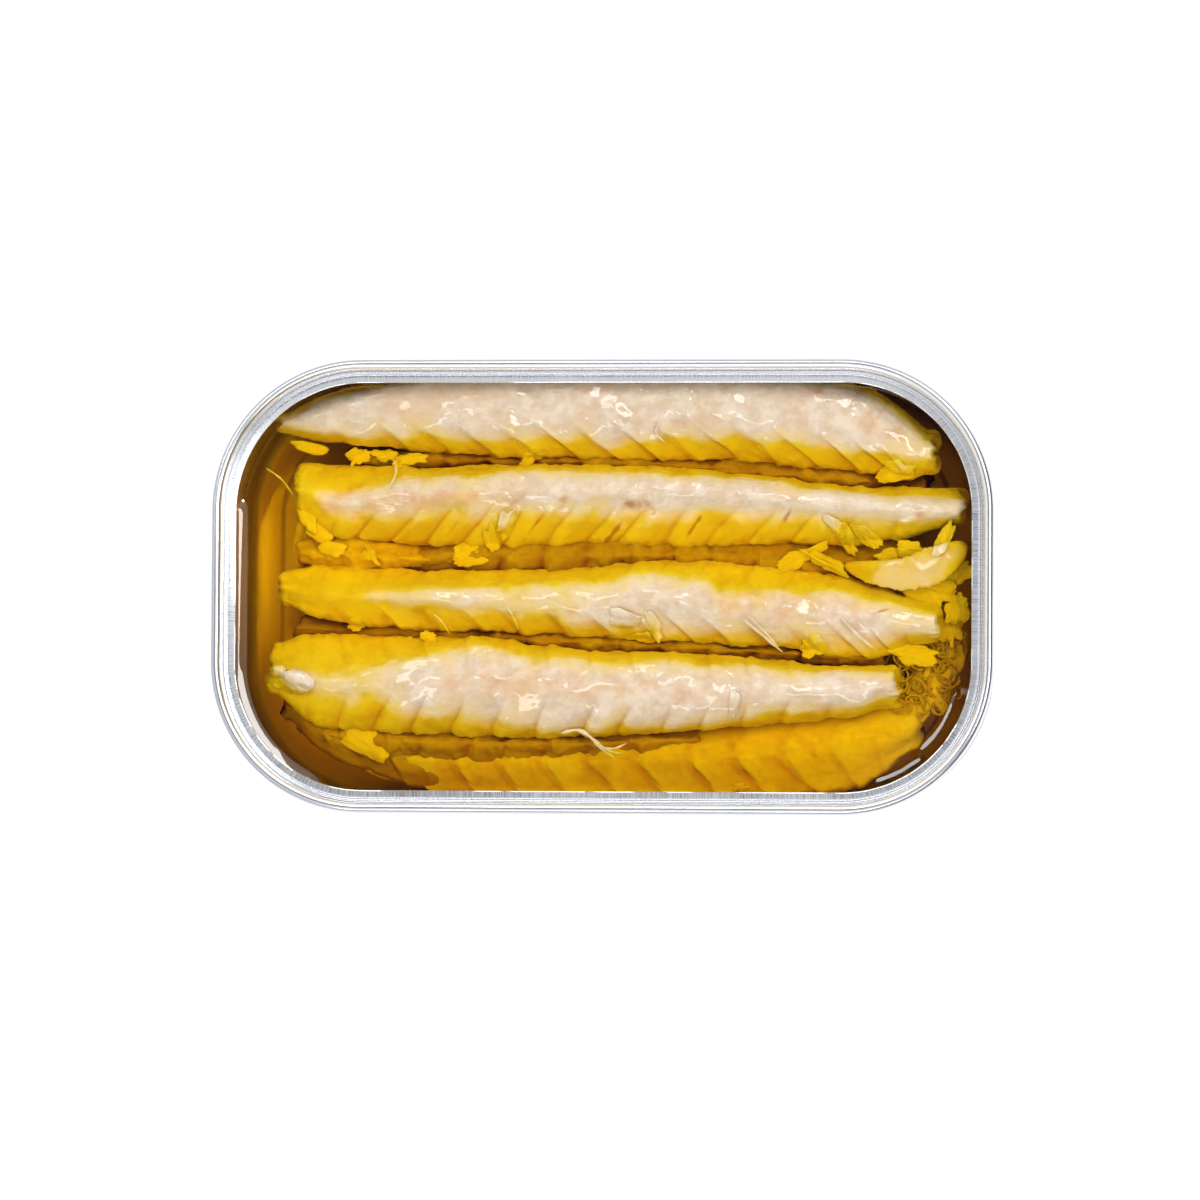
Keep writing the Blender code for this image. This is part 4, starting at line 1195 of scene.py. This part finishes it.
def mark_pits(over, pieces):
    """Gives each point of the pieces how deep it lies under the blurred tops of over, from 0 to 1."""
    xs = np.arange(-TIN_LENGTH / 2, TIN_LENGTH / 2, PIT_CELL)
    ys = np.arange(-TIN_WIDTH / 2, TIN_WIDTH / 2, PIT_CELL)
    grid = [axis.ravel() for axis in np.meshgrid(xs, ys, indexing="ij")]
    tops = heights_of(over, *grid).reshape(len(xs), len(ys))
    tops = np.clip(tops, PIT_FLOOR, OIL_LEVEL + 0.5 * MM)
    reach = int(2 * PIT_REACH / PIT_CELL)
    bell = np.exp(-((np.arange(-reach, reach + 1) * PIT_CELL / PIT_REACH) ** 2))
    bell /= bell.sum()

    def blurred(row):
        return np.convolve(np.pad(row, reach, "edge"), bell, "valid")

    for axis in (0, 1):
        tops = np.apply_along_axis(blurred, axis, tops)
    for ob in pieces:
        co = points_of(ob.data)
        i = np.clip((co[:, 0] - xs[0]) / PIT_CELL, 0, len(xs) - 1.001)
        j = np.clip((co[:, 1] - ys[0]) / PIT_CELL, 0, len(ys) - 1.001)
        a, b = i.astype(int), j.astype(int)
        s, t = i - a, j - b
        near = tops[a, b] * (1 - s) + tops[a + 1, b] * s
        far = tops[a, b + 1] * (1 - s) + tops[a + 1, b + 1] * s
        around = near * (1 - t) + far * t
        add_mark(ob.data, "pit", np.clip((around - co[:, 2]) / PIT_DEPTH, 0, 1))


mark_pits(fish, fish + loose)
print("gaps marked on", len(fish + loose), "pieces")

# %% [markdown]
# ## The oil
# Liquid in a tin is not a flat lid on it. It climbs a little up the wall, and in a few stretches it clings to
# the flange and slopes up to it. Those slopes catch the lights. The surface is one grid, squeezed from a
# square into the tin's outline so that its rows run along the wall. The sides and the base reach just into
# the metal, so that no air shows between them.

# %% Oil body
OIL_STEPS = 264
INTO_WALL = 0.10 * MM
CLIMB_WALL, CLIMB_WALL_REACH = 0.5 * MM, 0.5 * MM
# Where the oil clings to the flange: from and to which way round in degrees, distance from the wall and
# width of the slope in millimetres, and the slope. 180 is the left side, 270 the front.
CLINGS = [(150, 245, 2.2, 1.3, 0.31), (284, 311, 3.2, 0.9, 0.26), (311, 347, 4.0, 1.0, 0.27)]
# On the left side the cling only begins below this y
CLING_START = 11.0 * MM
# What the oil lets through, and how strongly
OIL_TINT = (0.995, 0.925, 0.0, 1.0)
OIL_DENSITY = 260.0


def outline_point(a, b, inset):
    """Carries points on the square's edge (a or b is 1 or -1) to the tin's outline, moved in by an inset."""
    quadrant_x, quadrant_y = np.sign(a), np.sign(b)
    a, b = np.abs(a), np.abs(b)
    share = np.where(a >= b, b / 2, 1 - a / 2)
    radius = CORNER_RADIUS - inset
    bend = radius * np.pi / 2
    walked = share * (HALF_Y + bend + HALF_X)
    angle = np.clip((walked - HALF_Y) / radius, 0, np.pi / 2)
    x = HALF_X - np.clip(walked - HALF_Y - bend, 0, None) + radius * np.cos(angle)
    y = np.clip(walked, 0, HALF_Y) + radius * np.sin(angle)
    return x * np.where(quadrant_x == 0, 1, quadrant_x), y * np.where(quadrant_y == 0, 1, quadrant_y)


def build_oil():
    bm = bmesh.new()
    bmesh.ops.create_grid(bm, x_segments=OIL_STEPS, y_segments=OIL_STEPS, size=1.0)
    co = np.array([v.co for v in bm.verts])
    ring = np.maximum(np.abs(co[:, 0]), np.abs(co[:, 1]))
    safe = np.maximum(ring, 1e-9)
    inset = wall_inset(OIL_LEVEL) + PLATE - INTO_WALL
    x, y = outline_point(co[:, 0] / safe, co[:, 1] / safe, inset)
    spread = 1 - (1 - ring) ** 1.3
    x, y = x * spread, y * spread
    over_x, over_y = np.abs(x) - HALF_X, np.abs(y) - HALF_Y
    from_middle = np.hypot(np.clip(over_x, 0, None), np.clip(over_y, 0, None))
    from_middle += np.minimum(np.maximum(over_x, over_y), 0)
    from_wall = CORNER_RADIUS - inset - INTO_WALL - from_middle
    z = OIL_LEVEL + CLIMB_WALL * np.exp(-np.clip(from_wall, 0, None) / CLIMB_WALL_REACH)
    way = np.degrees(np.arctan2(y - np.clip(y, -HALF_Y, HALF_Y), x - np.clip(x, -HALF_X, HALF_X))) % 360
    for start, end, middle, width, steep in CLINGS:
        held = smooth_step(start - 4, start + 3, way) * smooth_step(end + 4, end - 3, way)
        held *= np.where(x < 0, smooth_step(CLING_START + 1.5 * MM, CLING_START - 1.0 * MM, y), 1.0)
        climbed = np.clip((middle + width / 2) * MM - from_wall, 0, width * MM)
        z += steep * held * climbed
    edge = [e for e in bm.edges if e.is_boundary]
    for vert, px, py, pz in zip(bm.verts, x, y, z):
        vert.co = (px, py, pz)
    square = {v: c for v, c, r in zip(bm.verts, co, ring) if r > 1 - 1e-6}
    for depth_inset, level in body_side(PLATE - INTO_WALL, OIL_LEVEL - 1.0 * MM):
        moved = bmesh.ops.extrude_edge_only(bm, edges=edge)["geom"]
        fresh = [item for item in moved if isinstance(item, bmesh.types.BMVert)]
        edge = [item for item in moved if isinstance(item, bmesh.types.BMEdge)]
        below = {}
        for vert in fresh:
            above = next(o for o in (e.other_vert(vert) for e in vert.link_edges) if o in square)
            below[vert] = square[above]
        corners = np.array(list(below.values()))
        xs, ys = outline_point(corners[:, 0], corners[:, 1], depth_inset)
        for vert, px, py in zip(below, xs, ys):
            vert.co = (px, py, level)
        square = below
    bmesh.ops.holes_fill(bm, edges=edge)
    bmesh.ops.recalc_face_normals(bm, faces=bm.faces)
    return bm


def oil_material():
    shade = Shade("golden_oil")
    shade.set(Base_Color=(1, 1, 1, 1), Roughness=0.0, IOR=1.47, Transmission_Weight=1.0)
    shade.set(Coat_Weight=1.0, Coat_IOR=1.7, Coat_Roughness=0.01)
    volume = shade.node("ShaderNodeVolumeAbsorption", Color=OIL_TINT, Density=OIL_DENSITY)
    shade.feed(shade.out.inputs["Volume"], volume.outputs["Volume"])
    ripple = shade.noise(shade.position(), 90, detail=1.0)
    shade.link(shade.bump(ripple, 0.15, 0.05 * MM), "Normal")
    return shade.mat


oil = add_piece("oil_body", build_oil(), oil_material())
oil.visible_shadow = False
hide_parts("oil")
print("oil triangles:", triangles(oil))

# %% [markdown]
# ## Studio
# Food in a bright metal tin is lit by large soft sources to the sides, never from straight above: the metal
# then shows them as long white bands, and the oil, seen from above, mirrors only the dark overhead and stays
# clear. The world gives the even fill, with a dark patch overhead and a dark card low on the right. Three
# soft boxes give the shine, and a narrow lamp looks down into the gap at the left end.

# %% Floor and world
# The dark patch: how it leans from overhead to +X and +Y, and brightness by degrees from its middle
PATCH_LEAN = (-14, 12)
PATCH = [(0, (0.02, 0.025, 0.035)), (14.5, (0.02, 0.025, 0.035)), (16.5, (0.6, 0.66, 0.75)), (19, (1, 1, 1))]
# The dark card: its direction, the cosines between which it darkens, and how dark it gets
CARD = (1.0, -0.45, 0.35)
CARD_EDGE, CARD_MIDDLE, CARD_TONE = 0.35, 0.78, 0.18
FILL = 0.88
FLOOR_HALF = 3.0


def build_floor():
    bm = bmesh.new()
    bmesh.ops.create_grid(bm, x_segments=1, y_segments=1, size=FLOOR_HALF)
    mesh = to_mesh("floor", bm)
    shade = Shade("pale_floor")
    shade.set(Base_Color=(0.93, 0.93, 0.93, 1), Roughness=0.9)
    shade.set(Emission_Color=(1, 1, 1, 1), Emission_Strength=0.4)
    mesh.materials.append(shade.mat)
    add_object("floor", mesh)


def build_world():
    world = bpy.data.worlds.new("studio")
    bpy.context.scene.world = world
    world.use_nodes = True
    sky = Nodes(world.node_tree)

    def towards(direction):
        """The cosine of the angle between where a ray goes and a direction."""
        made = sky.node("ShaderNodeVectorMath")
        made.operation = "DOT_PRODUCT"
        sky.feed(made.inputs[0], sky.node("ShaderNodeTexCoord").outputs["Generated"])
        made.inputs[1].default_value = Vector(direction).normalized()
        return made.outputs["Value"]

    lean_x, lean_y = (math.tan(math.radians(lean)) for lean in PATCH_LEAN)
    angle = sky.math("ARCCOSINE", towards((lean_x, lean_y, 1)))
    white = sky.ramp(angle, [(math.radians(degrees), tone) for degrees, tone in PATCH])
    card = sky.span(towards(CARD), CARD_EDGE, CARD_MIDDLE, 1.0, CARD_TONE, kind="LINEAR")
    dimmed = sky.node("ShaderNodeVectorMath")
    dimmed.operation = "SCALE"
    sky.feed(dimmed.inputs[0], white)
    sky.feed(dimmed.inputs["Scale"], card)
    background = sky.tree.nodes["Background"]
    sky.feed(background.inputs["Color"], dimmed.outputs["Vector"])
    background.inputs["Strength"].default_value = FILL


build_floor()
build_world()
print("world fill:", FILL)

# %% Lights
# Azimuth (0 is +X, 90 is +Y) and elevation in degrees, length and width in metres, power in watts
SOFT_BOX_DISTANCE = 1.2
SOFT_BOXES = {
    "right_panel": (25, 60, (1.30, 0.28), 7.4),
    "back_strip": (125, 57, (0.95, 0.26), 3.0),
    "front_strip": (280, 50, (1.00, 0.22), 2.8),
}
# The narrow lamp: what it looks at, how far it leans back, its distance, its spot's radius and its power
LAMP_TARGET = Vector((-45.8, 5.5, 3.0)) * MM
LAMP_LEAN = 12.0
LAMP_DISTANCE = 0.7
LAMP_RADIUS = 9.5 * MM
LAMP_POWER = 7.5


def add_light(name, kind, power, place, away):
    """A light at a place, turned so that it shines against the direction away, and unseen by the camera."""
    data = bpy.data.lights.new(name, kind)
    data.energy = power
    ob = add_object(name, data)
    ob.location = place
    ob.rotation_euler = away.to_track_quat("Z", "Y").to_euler()
    ob.visible_camera = False
    return data


for name, (azimuth, elevation, size, power) in SOFT_BOXES.items():
    a, e = math.radians(azimuth), math.radians(elevation)
    place = SOFT_BOX_DISTANCE * Vector((math.cos(a) * math.cos(e), math.sin(a) * math.cos(e), math.sin(e)))
    box = add_light(name, "AREA", power, place, place)
    box.shape = "RECTANGLE"
    box.size, box.size_y = size

away = Vector((0.0, math.sin(math.radians(LAMP_LEAN)), math.cos(math.radians(LAMP_LEAN))))
lamp = add_light("left_gap", "SPOT", LAMP_POWER, LAMP_TARGET + LAMP_DISTANCE * away, away)
lamp.spot_size = 2 * math.atan(LAMP_RADIUS / LAMP_DISTANCE)
lamp.spot_blend = 1.0
lamp.shadow_soft_size = 0.01
print("lights:", [*SOFT_BOXES, "left_gap"])

# %% [markdown]
# ## Camera
# A long lens from almost straight above, leaning a little to the right and to the front, with the tin turned
# by less than half a degree in the frame.

# %% Camera
FRAME_PIXELS = 1200
PIXELS_PER_MM = 7.495
RIM_CENTRE = (600.3, 586.2)
DISTANCE = 900 * MM
LEAN_RIGHT, LEAN_FRONT, ROLL = 6.0, 2.6, 0.4


def build_camera():
    data = bpy.data.cameras.new("camera")
    data.sensor_width = 36.0
    data.lens = data.sensor_width * DISTANCE / (FRAME_PIXELS / PIXELS_PER_MM * MM)
    data.clip_start, data.clip_end = 0.05, 10.0
    ob = add_object("camera", data)
    right, front = math.radians(LEAN_RIGHT), math.radians(LEAN_FRONT)
    back = Vector((math.tan(right), -math.tan(front), 1.0)).normalized()
    across = Vector((0, 1, 0)).cross(back).normalized()
    turn = Matrix((across, back.cross(across), back)).transposed()
    turn = turn @ Matrix.Rotation(math.radians(ROLL), 3, "Z")
    off_x, off_y = (FRAME_PIXELS / 2 - c for c in RIM_CENTRE)
    rim = Vector((0, 0, TIN_HEIGHT - 1.0 * MM))
    aim = rim + (turn @ Vector((off_x, -off_y, 0))) / PIXELS_PER_MM * MM
    ob.rotation_euler = turn.to_euler()
    ob.location = aim + back * DISTANCE
    bpy.context.scene.camera = ob


build_camera()
bpy.context.scene.view_settings.view_transform = "Standard"
print("camera lens, mm:", round(bpy.context.scene.camera.data.lens, 1))
